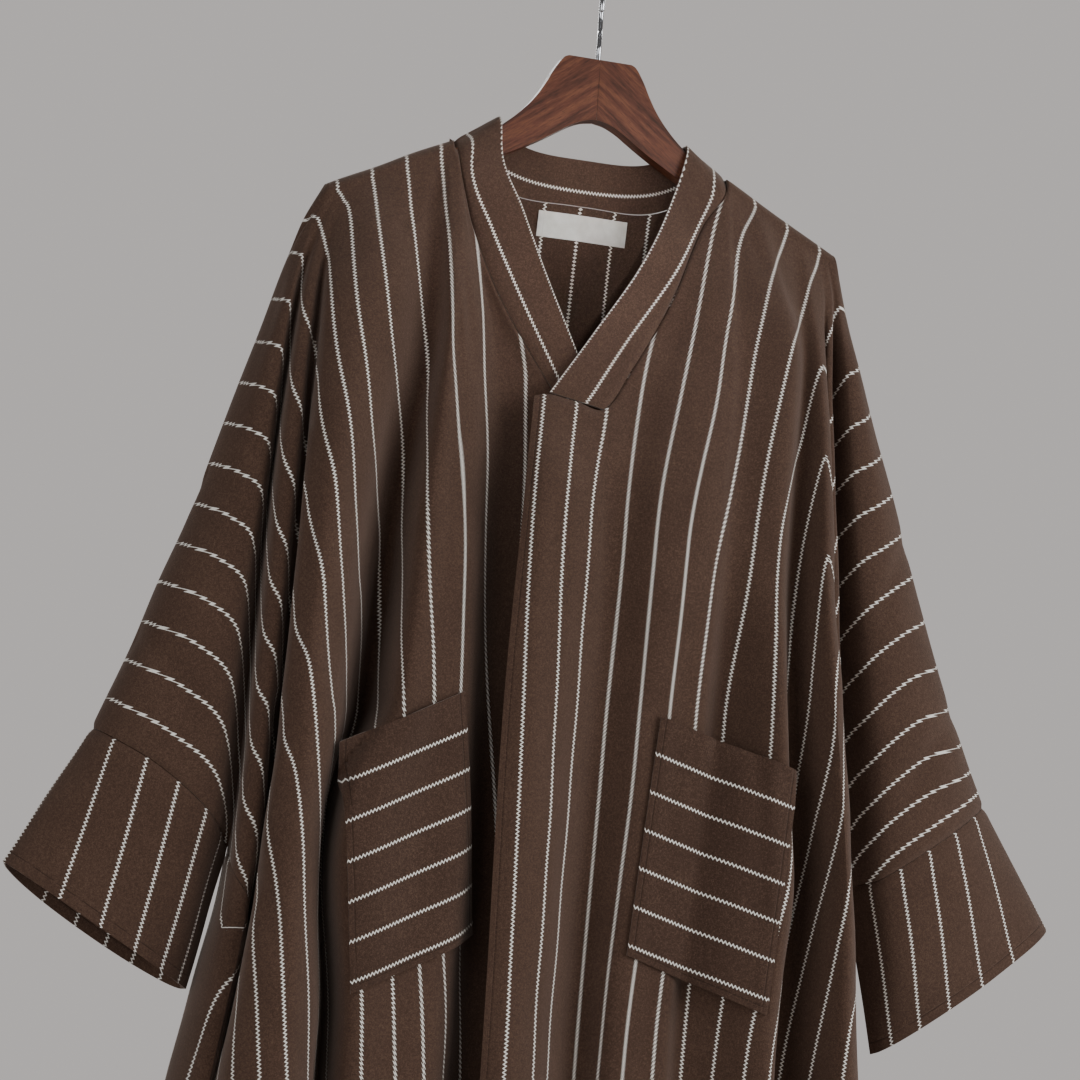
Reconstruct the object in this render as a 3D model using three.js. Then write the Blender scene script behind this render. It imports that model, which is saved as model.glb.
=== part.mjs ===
// Batwing abaya of pinstriped brushed cloth, hung on a wooden hanger with a wire hook.
// Millimetres, +Z up, the garment's front faces -Y, the wearer's left is +X.
// The origin is the inside top of the hook, where it rests on a rail.

import * as THREE from "three";

// Cloth
const CLOTH = 1.6;
const BAND_CLOTH = 2.4;
const SEAM_GAP = 0.3;
const CLEAR = 0.35;
const MITRE = 0.42;

// Heights below the rail
const HANGER_TOP = -60;
const HEM = -1420;
const NECK_CORNER = { out: 117.5, z: -142.5 };
const SHOULDER_FALL = 0.516;
const SHOULDER_ROUND = 9.5;
const BACK_NECK = { z: -178, y: 22 };
const WING = -742;

// Rows of the cloth grid: over the shoulder, down to the wing's lower edge, down to the hem
const ROUND_ROWS = [0, 0.134, 0.5, 1];
const NECK_EASE = 36;
const UPPER_SHARES = [0.1, 0.2, 0.3, 0.4, 0.5, 0.6, 0.7, 0.8, 0.89, 0.965, 1];
const LOWER_SHARES = [0, 0.035, 0.12, 0.27, 0.43, 0.62, 0.81, 1];

// A row for each fold, from the centre front outwards. "top" is where the fold starts: out is
// its distance from the centre on the shoulder seam, and a start on the neck has its height and
// depth as well. "at" lists height, distance out and depth (front is minus).
// "wing" is the height where the lower edge of the wing crosses the fold.
const RIGHT_FRONT = [
  { fold: "under edge", steps: 3, top: { out: -12, z: -400, y: -39 },
    at: [[-600, -14, -34], [-850, -14, -36], [HEM, -14, -40]] },
  { fold: "inner valley", steps: 2, top: { out: 79, z: -270, y: -30 },
    at: [[-300, 73, -26], [-450, 64, -30], [-620, 62, -30], [-850, 61, -28], [HEM, 70, -22]] },
  { fold: "inner ridge", steps: 2, top: { out: 101, z: -214, y: -19 },
    at: [[-300, 97, -37], [-450, 92, -50], [-620, 88, -56], [-850, 92, -62], [HEM, 108, -78]] },
  { fold: "neck side", steps: 2, top: { out: 115.6, z: -157, y: -12, ease: 15 },
    at: [[-185, 115, -18], [-240, 114, -32], [-300, 112, -45], [-450, 111, -57], [-620, 120, -62], [-850, 130, -67], [HEM, 150, -86]] },
  { fold: "inner ridge edge", steps: 2, top: { out: 117.5, lean: 3.5 },
    at: [[-185, 121.8, -17], [-240, 121.5, -32], [-300, 121, -46], [-450, 131, -60], [-600, 142, -66], [-660, 170, -73], [-720, 177, -74],
      [-850, 163, -68], [HEM, 186, -88]] },
  { fold: "middle valley", steps: 2, top: { out: 130 },
    at: [[-300, 131, -26], [-450, 147, -16], [-600, 157, -6], [-660, 177, -14], [-720, 184, -16],
      [-850, 172, -16], [HEM, 200, -20]] },
  { fold: "outer ridge flank", steps: 2, top: { out: 158 },
    at: [[-300, 168, -50], [-450, 188, -66], [-620, 194, -67], [-720, 196, -63], [-850, 190, -68],
      [HEM, 228, -88]] },
  { fold: "outer ridge", steps: 2, top: { out: 181 },
    at: [[-300, 197, -55], [-450, 211, -79], [-620, 217, -79], [-720, 217, -80], [-850, 216, -88],
      [HEM, 272, -108]] },
  { fold: "outer ridge edge", steps: 1, top: { out: 196 }, wing: -758,
    at: [[-240, 213, -21], [-300, 219, -44], [-450, 229, -66], [-620, 233, -66], [-758, 241, -66], [-850, 249, -68],
      [HEM, 318, -84]] },
  { fold: "side seam", steps: 1, top: { out: 200 }, wing: -761,
    at: [[-240, 216, -18], [-300, 222, -27], [-450, 226, -42], [-620, 227, -30], [-761, 231, -18], [-850, 243, -20],
      [HEM, 340, -14]] },
  { fold: "strip inner edge", steps: 1, top: { out: 203.5 }, wing: -757,
    at: [[-240, 219.5, -17], [-300, 229, -36], [-450, 235, -54], [-620, 239, -53], [-757, 242, -50]],
    below: [[-757, 242, -50], [-850, 254, -44], [HEM, 352, -40]] },
  { fold: "strip outer edge", steps: 1, top: { out: 207 }, wing: -740,
    at: [[-240, 223.5, -15.5], [-300, 236, -34], [-450, 246, -50], [-620, 251, -47], [-740, 255, -43]],
    below: [[-740, 255, -43], [-850, 267, -34], [HEM, 372, -30]] },
  { fold: "underarm valley", steps: 1, top: { out: 210.5 }, wing: -722,
    at: [[-240, 227, -12], [-300, 238, -18], [-450, 247, -14], [-620, 251, -14], [-672, 252, -13], [-704, 253, -12], [-722, 254, -5]] },
  { fold: "sleeve inner", steps: 2, top: { out: 213.5 }, wing: -699,
    at: [[-240, 231, -12], [-300, 245, -29], [-450, 256, -36], [-620, 269, -38], [-699, 271, -34]] },
  { fold: "sleeve middle", steps: 2, top: { out: 216.2 }, wing: -664,
    at: [[-240, 234.5, -9.5], [-300, 250, -26], [-450, 276, -35], [-600, 304, -40], [-664, 316, -37]] },
  { fold: "sleeve outer", steps: 2, top: { out: 218.2 }, wing: -644,
    at: [[-240, 237.5, -6], [-300, 254, -14], [-450, 292, -21], [-600, 340, -25], [-644, 354, -22]] },
];
const RIGHT_OVERARM = { fold: "overarm", steps: 2, top: { out: 219.5, y: 0 }, wing: -638,
  at: [[-226, 235.5, 0], [-255, 244, 0], [-300, 257, 0], [-450, 300, 0], [-600, 350, 0],
    [-638, 365, 0]] };

const LEFT_FRONT = [
  { fold: "front edge", steps: 1, top: { out: -48.5, z: -350.5, y: -49 },
    at: [[-450, -57, -68], [-620, -62, -71], [-850, -60, -74], [HEM, -62, -84]] },
  { fold: "front edge crown", steps: 2, top: { out: -37, z: -348, y: -50.5 },
    at: [[-450, -45, -75], [-620, -44, -77], [-850, -42, -79], [HEM, -42, -90]] },
  { fold: "front flat", steps: 2, top: { out: -13, z: -351.5, y: -50.5 },
    at: [[-450, -22, -73], [-620, -18, -68], [-850, -15, -68], [HEM, -14, -80]] },
  { fold: "band end", steps: 1, top: { out: 10.3, z: -355.5, y: -49 },
    at: [[-450, 5, -65], [-620, 7, -51], [-850, 7, -47], [HEM, 10, -54]] },
  { fold: "inner valley", steps: 2, top: { out: 35, z: -319, y: -41 },
    at: [[-450, 28, -60], [-620, 28, -43], [-850, 28, -35], [HEM, 34, -34]] },
  { fold: "inner ridge", steps: 2, top: { out: 66, z: -262, y: -31 },
    at: [[-300, 64, -40], [-450, 52, -75], [-620, 54, -62], [-850, 47, -60], [HEM, 60, -84]] },
  { fold: "inner ridge edge", steps: 2, top: { out: 97, z: -186, y: -16 },
    at: [[-300, 99, -50], [-450, 84, -78], [-620, 86, -62], [-850, 74, -64], [HEM, 94, -92]] },
  { fold: "neck side", steps: 2, top: { out: 115.6, z: -157, y: -12, ease: 15 },
    at: [[-185, 115.2, -19], [-240, 115.4, -35], [-300, 115, -49], [-450, 103, -74], [-620, 106, -62], [-850, 91, -64], [HEM, 115, -76]] },
  { fold: "middle valley", steps: 2, top: { out: 117.5, lean: 3.5 },
    at: [[-185, 122.5, -17], [-240, 125, -33], [-300, 128, -47], [-450, 121, -66], [-600, 126, -47], [-680, 110, -52], [-850, 108, -52],
      [HEM, 136, -50]] },
  { fold: "middle ridge edge", steps: 2, top: { out: 150 },
    at: [[-300, 167, -56], [-450, 157, -76], [-620, 168, -84], [-720, 176, -88], [-850, 169, -90],
      [HEM, 214, -102]] },
  { fold: "outer valley", steps: 2, top: { out: 178 },
    at: [[-300, 184, -38], [-450, 179, -50], [-620, 187, -46], [-720, 198, -38], [-850, 195, -36],
      [HEM, 240, -34]] },
  { fold: "outer ridge", steps: 2, top: { out: 188 },
    at: [[-300, 195, -45], [-450, 196, -77], [-620, 213, -90], [-720, 224, -92], [-850, 232, -90],
      [HEM, 296, -108]] },
  { fold: "outer ridge edge", steps: 1, top: { out: 197 }, wing: -758,
    at: [[-240, 205, -20], [-300, 203, -38], [-450, 207, -67], [-620, 227, -70], [-758, 242, -70], [-850, 250, -72],
      [HEM, 324, -84]] },
  { fold: "side seam", steps: 1, top: { out: 201 }, wing: -761,
    at: [[-240, 208, -16.5], [-300, 206, -19], [-450, 206, -38], [-620, 221, -28], [-761, 233, -16], [-850, 243, -18],
      [HEM, 344, -14]] },
  { fold: "strip inner edge", steps: 1, top: { out: 204 }, wing: -757,
    at: [[-240, 211, -16], [-300, 209, -25], [-450, 214, -38], [-620, 231, -33], [-757, 244, -30]],
    below: [[-757, 244, -30], [-850, 253, -30], [HEM, 354, -36]] },
  { fold: "strip outer edge", steps: 1, top: { out: 207 }, wing: -740,
    at: [[-240, 215, -15], [-300, 215, -24], [-450, 224, -35], [-620, 243, -30], [-740, 256, -27]],
    below: [[-740, 256, -27], [-850, 265, -24], [HEM, 374, -28]] },
  { fold: "underarm valley", steps: 1, top: { out: 210.5 }, wing: -722,
    at: [[-240, 218, -11], [-300, 218, -10], [-450, 228, -9], [-620, 248, -11], [-672, 254, -12], [-704, 257, -12], [-722, 260, -5]] },
  { fold: "sleeve inner", steps: 2, top: { out: 213.5 }, wing: -711,
    at: [[-240, 222, -12.5], [-300, 226, -26], [-450, 240, -35], [-620, 267, -38], [-711, 278, -34]] },
  { fold: "sleeve middle", steps: 2, top: { out: 216 }, wing: -679,
    at: [[-240, 226.5, -10.5], [-300, 237, -26], [-450, 267, -38], [-600, 304, -42], [-679, 326, -38]] },
  { fold: "sleeve outer", steps: 2, top: { out: 217.8 }, wing: -652,
    at: [[-240, 229.5, -6.5], [-300, 246, -14], [-450, 293, -22], [-600, 346, -26], [-652, 368, -22]] },
];
const LEFT_OVERARM = { fold: "overarm", steps: 2, top: { out: 219, y: 0 }, wing: -644,
  at: [[-217, 224.5, 0], [-252, 236, 0], [-300, 251, 0], [-450, 303, 0], [-600, 361, 0], [-644, 383, 0]] };

// From the underarm inwards to the centre back; "side" rows differ on the two sleeves
const BACK_SLEEVE = {
  right: [
    { fold: "sleeve outer", steps: 2, top: { out: 218 }, wing: -644,
      at: [[-240, 237.5, 6], [-300, 254, 14], [-450, 292, 21], [-600, 340, 25], [-644, 354, 22]] },
    { fold: "sleeve middle", steps: 2, top: { out: 215.5 }, wing: -668,
      at: [[-240, 234.5, 10], [-300, 250, 24], [-450, 276, 34], [-600, 304, 38], [-668, 316, 36]] },
    { fold: "sleeve inner", steps: 2, top: { out: 211.5 }, wing: -703,
      at: [[-240, 231, 12], [-300, 245, 22], [-450, 258, 30], [-620, 270, 32], [-703, 272, 28]] },
    { fold: "underarm valley", steps: 2, top: { out: 207 }, wing: -722,
      at: [[-240, 226, 9.5], [-300, 237, 6], [-450, 246, 9], [-620, 250, 9], [-672, 252, 7], [-704, 253, 5], [-722, 254, -5], [-850, 275, 4], [HEM, 384, 2]] },
  ],
  left: [
    { fold: "sleeve outer", steps: 2, top: { out: 217.6 }, wing: -652,
      at: [[-240, 229.5, 6.5], [-300, 246, 14], [-450, 293, 22], [-600, 346, 26], [-652, 368, 22]] },
    { fold: "sleeve middle", steps: 2, top: { out: 215.2 }, wing: -683,
      at: [[-240, 226.5, 10.5], [-300, 237, 25], [-450, 267, 36], [-600, 304, 40], [-683, 326, 37]] },
    { fold: "sleeve inner", steps: 2, top: { out: 211.5 }, wing: -714,
      at: [[-240, 222.5, 12.5], [-300, 228, 22], [-450, 244, 30], [-620, 268, 32], [-714, 280, 28]] },
    { fold: "underarm valley", steps: 2, top: { out: 207 }, wing: -722,
      at: [[-240, 218, 10.5], [-300, 220, 7], [-450, 230, 10], [-620, 249, 10], [-672, 254, 8], [-704, 257, 5], [-722, 260, -5], [-850, 273, 6], [HEM, 386, 4]] },
  ],
};
const BACK = [
  { fold: "side flank", steps: 3, top: { out: 198 },
    at: [[-300, 214, 34], [-450, 220, 38], [-620, 232, 38], [-742, 247, 34], [-850, 264, 38], [HEM, 366, 42]] },
  { fold: "outer ridge", steps: 3, top: { out: 183 },
    at: [[-300, 196, 48], [-450, 198, 62], [-620, 204, 72], [-850, 224, 76], [HEM, 312, 92]] },
  { fold: "outer valley", steps: 3, top: { out: 163 },
    at: [[-300, 168, 40], [-450, 165, 42], [-620, 166, 36], [-850, 178, 32], [HEM, 244, 40]] },
  { fold: "middle ridge", steps: 3, top: { out: 135 },
    at: [[-300, 134, 46], [-450, 131, 60], [-620, 130, 70], [-850, 142, 78], [HEM, 190, 100]] },
  { fold: "inner flank", steps: 1, top: { out: 117.5 },
    at: [[-300, 106, 40], [-450, 104, 46], [-620, 104, 47], [-850, 114, 48], [HEM, 152, 56]] },
  { fold: "inner valley", steps: 3, top: { out: 113, neck: true, ease: 13 },
    at: [[-300, 92, 38], [-450, 88, 40], [-620, 86, 36], [-850, 94, 34], [HEM, 126, 38]] },
  { fold: "inner ridge", steps: 3, top: { out: 62, neck: true },
    at: [[-300, 48, 41], [-450, 46, 54], [-620, 44, 62], [-850, 48, 70], [HEM, 66, 90]] },
  { fold: "centre back", steps: 0, top: { out: 0, neck: true },
    at: [[-300, 0, 37], [-450, 0, 42], [-620, 0, 46], [-850, 0, 50], [HEM, 0, 58]] },
];

// Cuff mouths: end of the overarm edge and of the underarm edge, the half depth of the mouth,
// and how much lower its back edge hangs
const CUFF = {
  right: { over: { out: 422, z: -743 }, under: { out: 276, z: -830 }, half: 27, backDrop: 9 },
  left: { over: { out: 449, z: -741 }, under: { out: 294, z: -853 }, half: 27, backDrop: 9 },
};
const CUFF_ROWS = 3;

// Inner fold edge of the neckband, from the shoulder down each front, and its back height
const BAND_EDGE = {
  right: [
    { along: 0, out: 81.5, z: -118.5, y: 0 }, { along: 0.03, out: 81.2, z: -120, y: -6 },
    { along: 0.065, out: 80.6, z: -127, y: -10.5 }, { along: 0.12, out: 79, z: -150, y: -13 },
    { along: 0.3, out: 62, z: -196, y: -24 }, { along: 0.48, out: 47, z: -235, y: -31 },
    { along: 0.74, out: 19, z: -297, y: -38 }, { along: 0.9, out: -4, z: -342, y: -41 },
    { along: 1, out: -30, z: -372, y: -41 },
  ],
  left: [
    { along: 0, out: 81, z: -118.5, y: 0 }, { along: 0.03, out: 80.7, z: -120, y: -6 },
    { along: 0.065, out: 79.5, z: -127, y: -10.5 }, { along: 0.12, out: 73, z: -152, y: -14 },
    { along: 0.4, out: 43, z: -224, y: -31 }, { along: 0.72, out: -3, z: -297, y: -43 },
    { along: 1, out: -36, z: -347, y: -51 },
  ],
};
const BAND_BACK = { z: -139.7, y: 17 };

// Pocket corners on the body: inner top, outer top, outer bottom, inner bottom
const POCKETS = {
  right: { inTop: [90, -589], outTop: [187, -636], outLow: [165, -823], inLow: [63, -775], sag: 0, gape: 2.4 },
  left: { inTop: [69, -595], outTop: [180, -630], outLow: [163, -821], inLow: [54, -782], sag: 13, gape: 2.4 },
};
const POCKET_COLS = 9;
const POCKET_ROWS = 9;

const LABEL = { left: -35, right: 42, top: -185, low: -206, thick: 0.7 };

// Hanger: outline of one arm as out and height, top from the centre to the tip and back below
const HANGER_THICK = 13;
const HANGER_EDGE = 3.8;
const HANGER_JOINT = 0.15;
const ARM_TOP = [[27, -60], [31, -62], [39, -74], [44, -84], [51, -96], [59, -106.5], [69, -117], [78, -125],
  [90, -136], [117.5, -152], [160, -172.5], [205, -194.5]];
const ARM_TIP = [[210, -197], [212, -202], [210, -208], [204, -212]];
const ARM_LOW = [[160, -192], [117, -170.5], [72, -148], [46, -133.5], [31, -124], [21, -117.5], [10, -112.5]];
const ARM_APEX = -110.7;

// Hook: round wire in a plane turned from the garment's own
const HOOK = { wire: 2, bend: 19, turn: -17, rise: 14, sides: 10, tip: 200 };

const COLOURS = {
  cloth: 0x3c2c25, band: 0x3a2a24, wood: 0x6a3f2c, chrome: 0xc9ccd0, label: 0xe0ddd5,
};

// Small maths

const lerp = (a, b, t) => a + (b - a) * t;

// Monotone cubic through rows of [height, ...values], heights falling
function slide(rows, z) {
  const last = rows.length - 1;
  if (z >= rows[0][0]) return rows[0].slice(1);
  if (z <= rows[last][0]) return rows[last].slice(1);
  let i = 0;
  while (z < rows[i + 1][0]) i += 1;
  const step = rows[i][0] - rows[i + 1][0];
  const t = (rows[i][0] - z) / step;
  return rows[i].slice(1).map((value, column) => {
    const at = (row) => rows[row][column + 1];
    const slope = (row) => (at(row + 1) - at(row)) / (rows[row][0] - rows[row + 1][0]);
    const tangent = (row) => {
      if (row === 0) return slope(0);
      if (row === last) return slope(last - 1);
      const before = slope(row - 1);
      const after = slope(row);
      return before * after <= 0 ? 0 : (2 * before * after) / (before + after);
    };
    const t2 = t * t;
    const t3 = t2 * t;
    return (2 * t3 - 3 * t2 + 1) * value + (t3 - 2 * t2 + t) * step * tangent(i)
      + (3 * t2 - 2 * t3) * at(i + 1) + (t3 - t2) * step * tangent(i + 1);
  });
}

// Centripetal spline across the folds: "steps" points for each gap, then the last fold
function across(points, steps) {
  const result = [];
  const count = points.length;
  const gap = (a, b) => Math.max(0.05, Math.sqrt(a.distanceTo(b)));
  for (let i = 0; i + 1 < count; i += 1) {
    const p1 = points[i];
    const p2 = points[i + 1];
    const p0 = i > 0 ? points[i - 1] : p1.clone().multiplyScalar(2).sub(p2);
    const p3 = i + 2 < count ? points[i + 2] : p2.clone().multiplyScalar(2).sub(p1);
    const d1 = gap(p0, p1);
    const d2 = gap(p1, p2);
    const d3 = gap(p2, p3);
    const m1 = p1.clone().sub(p0).divideScalar(d1).sub(p2.clone().sub(p0).divideScalar(d1 + d2))
      .add(p2.clone().sub(p1).divideScalar(d2)).multiplyScalar(d2);
    const m2 = p2.clone().sub(p1).divideScalar(d2).sub(p3.clone().sub(p1).divideScalar(d2 + d3))
      .add(p3.clone().sub(p2).divideScalar(d3)).multiplyScalar(d2);
    for (let s = 0; s < steps[i]; s += 1) {
      const t = s / steps[i];
      const t2 = t * t;
      const t3 = t2 * t;
      result.push(p1.clone().multiplyScalar(2 * t3 - 3 * t2 + 1)
        .addScaledVector(m1, t3 - 2 * t2 + t)
        .addScaledVector(p2, 3 * t2 - 2 * t3)
        .addScaledVector(m2, t3 - t2));
    }
  }
  result.push(points[count - 1].clone());
  return result;
}

// The same, turning sharply at the given folds
function acrossCorners(points, steps, corners) {
  const ends = [0, ...corners, points.length - 1];
  return ends.slice(1).flatMap((end, i) => {
    const run = across(points.slice(ends[i], end + 1), steps.slice(ends[i], end));
    return i ? run.slice(1) : run;
  });
}

// Folds

const shoulderHeight = (out) => NECK_CORNER.z - (out - NECK_CORNER.out) * SHOULDER_FALL;

function backNeck(out) {
  const share = out / NECK_CORNER.out;
  return { z: lerp(BACK_NECK.z, NECK_CORNER.z, share ** 4), y: BACK_NECK.y * Math.sqrt(1 - share ** 8) };
}

// One fold as a line down the cloth: its point at a height, its top and its wing height
function foldLine(row, facing) {
  const start = { ...row.top };
  const round = start.y === undefined && !start.neck;
  if (start.neck) Object.assign(start, backNeck(start.out));
  if (start.z === undefined) start.z = shoulderHeight(start.out);
  if (start.y === undefined) start.y = 0;
  const first = round
    ? [start.z - SHOULDER_ROUND, start.out + (start.lean ?? 0), facing * SHOULDER_ROUND]
    : [start.z, start.out, start.y];
  const rows = [first, ...row.at];
  const lower = row.below ?? rows;
  const over = (z, table) => {
    const fall = start.z - z;
    const [out, y] = slide(table, z);
    if (!round || fall >= SHOULDER_ROUND) return { out, y, z };
    const rest = SHOULDER_ROUND - fall;
    const depth = facing * Math.sqrt(SHOULDER_ROUND ** 2 - rest ** 2);
    return { out: lerp(start.out, first[1], fall / SHOULDER_ROUND), y: depth, z };
  };
  return {
    steps: row.steps,
    corner: row.top.out === NECK_CORNER.out,
    ease: round ? 0 : row.top.ease ?? NECK_EASE,
    top: start.z,
    wing: row.wing ?? WING,
    upper: (z) => over(z, rows),
    lower: (z) => over(z, lower),
  };
}

function heights(line) {
  const list = ROUND_ROWS.map((share, row) => line.top
    - (line.ease ? line.ease * row / (ROUND_ROWS.length - 1) : share * SHOULDER_ROUND));
  const from = list[list.length - 1];
  UPPER_SHARES.forEach((share) => list.push(lerp(from, line.wing, share)));
  return list;
}

function lowerHeights(line) {
  return LOWER_SHARES.map((share) => lerp(line.wing, HEM, share));
}

// One side of the garment as loops of points, front centre to back centre
function sideLoops(name, frontRows, overarm, sleeveRows, backRows) {
  const side = name === "right" ? -1 : 1;
  const front = frontRows.map((row) => foldLine(row, -1));
  const over = foldLine(overarm, 0);
  const backSleeve = sleeveRows.map((row) => foldLine(row, 1));
  const back = backRows.map((row) => foldLine(row, 1));
  const seam = frontRows.findIndex((row) => row.fold === "side seam");
  const valley = frontRows.findIndex((row) => row.fold === "underarm valley");
  const upper = [...front, over, ...backSleeve, ...back];
  const lower = [...front.slice(0, valley), backSleeve[backSleeve.length - 1], ...back];
  const place = (point) => new THREE.Vector3(side * point.out, point.y, point.z);
  const steps = (lines) => lines.map((line) => line.steps);
  const count = (lines, index) => steps(lines).slice(0, index).reduce((sum, n) => sum + n, 0);
  const corners = upper.map((line, i) => (line.corner ? i : -1)).filter((i) => i >= 0);
  const upperRows = heights(front[0]).map((_, row) => {
    const points = upper.map((line) => place(line.upper(heights(line)[row])));
    const turned = row < ROUND_ROWS.length;
    return turned ? acrossCorners(points, steps(upper), corners) : across(points, steps(upper));
  });
  const lowerSteps = steps(lower);
  lowerSteps[valley] = backSleeve[backSleeve.length - 1].steps;
  const lowerRows = lowerHeights(front[0]).map((_, row) => across(
    lower.map((line) => place(line.lower(lowerHeights(line)[row]))), lowerSteps));
  const cols = {
    seam: count(upper, seam),
    valley: count(upper, valley),
    over: count(upper, front.length),
    underBack: count(upper, front.length + backSleeve.length),
    neckFront: count(upper, frontRows.findIndex((row) => row.top.out === NECK_CORNER.out)),
    neckBack: count(upper, front.length + 1 + backSleeve.length
      + backRows.findIndex((row) => row.top.out === NECK_CORNER.out)),
    end: upperRows[0].length - 1,
  };
  // The lower loop joins the wing's lower edge exactly
  const lastUpper = upperRows[upperRows.length - 1];
  const joined = [...lastUpper.slice(0, cols.valley), ...lastUpper.slice(cols.underBack)];
  lowerRows[0] = joined;
  return { name, side, cols, upperRows, lowerRows, front };
}

// Cloth walls

// Shared points of the whole outer surface, so that panels agree along their seams
class Surface {
  constructor() {
    this.points = [];
    this.index = new Map();
    this.faces = [];
    this.turned = new Map();
  }

  // Sets which way the surface faces at a point where sleeve, front and back all meet
  turn(point, normal) {
    this.turned.set(this.add(point), normal);
  }

  add(point) {
    const key = [point.x, point.y, point.z].map((v) => Math.round(v * 1000)).join(",");
    if (!this.index.has(key)) {
      this.index.set(key, this.points.length);
      this.points.push(point.clone());
    }
    return this.index.get(key);
  }

  // A grid of rows of points; "side" keeps the faces pointing out
  grid(panel, rows, side) {
    for (let r = 0; r + 1 < rows.length; r += 1) {
      for (let c = 0; c + 1 < rows[r].length; c += 1) {
        const ring = [rows[r][c], rows[r + 1][c], rows[r + 1][c + 1], rows[r][c + 1]].map((p) => this.add(p));
        if (side < 0) ring.reverse();
        for (const [a, b, d] of [[0, 1, 2], [0, 2, 3]]) {
          const face = [ring[a], ring[b], ring[d]];
          if (new Set(face).size === 3) this.faces.push({ panel, face });
        }
      }
    }
  }

  // Offset of each point for a wall of thickness one: the normal weighted by the corners'
  // angles, lengthened where the cloth is folded so that the wall keeps its thickness
  offsets() {
    const sums = this.points.map(() => new THREE.Vector3());
    const corners = [];
    for (const { face } of this.faces) {
      const points = face.map((i) => this.points[i]);
      const normal = faceNormal(points);
      face.forEach((i, k) => {
        const to = points[(k + 1) % 3].clone().sub(points[k]);
        const from = points[(k + 2) % 3].clone().sub(points[k]);
        const angle = to.angleTo(from);
        sums[i].addScaledVector(normal, angle);
        corners.push({ i, normal, angle });
      });
    }
    // On the seams over the shoulder and arm the walls end in the seam's own plane
    sums.forEach((sum, i) => {
      if (this.turned.has(i)) sum.copy(this.turned.get(i));
      if (Math.abs(this.points[i].y) < 1e-6) sum.y = 0;
      sum.normalize();
    });
    const fit = this.points.map(() => [0, 0]);
    for (const { i, normal, angle } of corners) {
      fit[i][0] += angle * normal.dot(sums[i]);
      fit[i][1] += angle;
    }
    return sums.map((sum, i) => (
      this.turned.has(i) ? sum : sum.divideScalar(Math.max(MITRE, fit[i][0] / fit[i][1]))));
  }

  // Direction from a panel's edge points into the panel, square to its edge
  inward(faces) {
    const edges = new Map();
    const result = new Map(faces.flat().map((i) => [i, new THREE.Vector3()]));
    for (const face of faces) {
      const normal = faceNormal(face.map((i) => this.points[i]));
      face.forEach((p, k) => {
        const q = face[(k + 1) % 3];
        if (edges.has(`${q},${p}`)) edges.delete(`${q},${p}`);
        else edges.set(`${p},${q}`, { p, q, normal });
      });
    }
    for (const { p, q, normal } of edges.values()) {
      const along = this.points[q].clone().sub(this.points[p]).normalize();
      const inside = normal.clone().cross(along);
      result.get(p).add(inside);
      result.get(q).add(inside);
    }
    return result;
  }

  // Closed wall of one panel, drawn back by half a seam gap where it meets another
  wall(panel, thick, gap = SEAM_GAP) {
    this.cached ??= this.offsets();
    const offsets = this.cached;
    const own = this.faces.filter((item) => item.panel === panel).map((item) => item.face);
    const others = new Set(this.faces.filter((item) => item.panel !== panel).flatMap((item) => item.face));
    const used = [...new Set(own.flat())];
    const inward = this.inward(own);
    const outer = new Map();
    const inner = new Map();
    for (const i of used) {
      const point = this.points[i].clone();
      const seam = others.has(i) || Math.abs(point.y) < 1e-6;
      if (seam) point.addScaledVector(square(inward.get(i), offsets[i]), gap * 0.72);
      outer.set(i, point);
      inner.set(i, point.clone().addScaledVector(offsets[i], -thick));
    }
    return closeWall(own, outer, inner);
  }
}

// The part of a direction square to another, at length one
function square(direction, other) {
  const unit = other.clone().normalize();
  return direction.clone().addScaledVector(unit, -direction.dot(unit)).normalize();
}

function faceNormal([a, b, c]) {
  return b.clone().sub(a).cross(c.clone().sub(a)).normalize();
}

// Outer and inner faces with their open edges joined
function closeWall(faces, outer, inner) {
  const positions = [];
  const number = new Map();
  const vertex = (map, i, tag) => {
    const key = `${tag}${i}`;
    if (!number.has(key)) {
      number.set(key, positions.length / 3);
      const p = map.get(i);
      positions.push(p.x, p.y, p.z);
    }
    return number.get(key);
  };
  const edges = new Map();
  const triangles = [];
  for (const [a, b, c] of faces) {
    triangles.push(vertex(outer, a, "o"), vertex(outer, b, "o"), vertex(outer, c, "o"));
    triangles.push(vertex(inner, c, "i"), vertex(inner, b, "i"), vertex(inner, a, "i"));
    for (const [p, q] of [[a, b], [b, c], [c, a]]) {
      if (edges.has(`${q},${p}`)) edges.delete(`${q},${p}`);
      else edges.set(`${p},${q}`, [p, q]);
    }
  }
  for (const [p, q] of edges.values()) {
    const [po, qo] = [vertex(outer, p, "o"), vertex(outer, q, "o")];
    const [pi, qi] = [vertex(inner, p, "i"), vertex(inner, q, "i")];
    // The end face is split the same way for both panels that meet there
    if (p < q) triangles.push(qo, po, qi, po, pi, qi);
    else triangles.push(qo, po, pi, qo, pi, qi);
  }
  const geometry = new THREE.BufferGeometry();
  geometry.setAttribute("position", new THREE.Float32BufferAttribute(positions, 3));
  geometry.setIndex(triangles);
  return geometry;
}

// A separate sheet of rows of points with its own thickness, faces out on the given side
function sheet(rows, thick, side) {
  const surface = new Surface();
  surface.grid("sheet", rows, side);
  return surface.wall("sheet", thick);
}

// Garment

const sides = {
  right: sideLoops("right", RIGHT_FRONT, RIGHT_OVERARM, BACK_SLEEVE.right, BACK),
  left: sideLoops("left", LEFT_FRONT, LEFT_OVERARM, BACK_SLEEVE.left, BACK),
};

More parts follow.
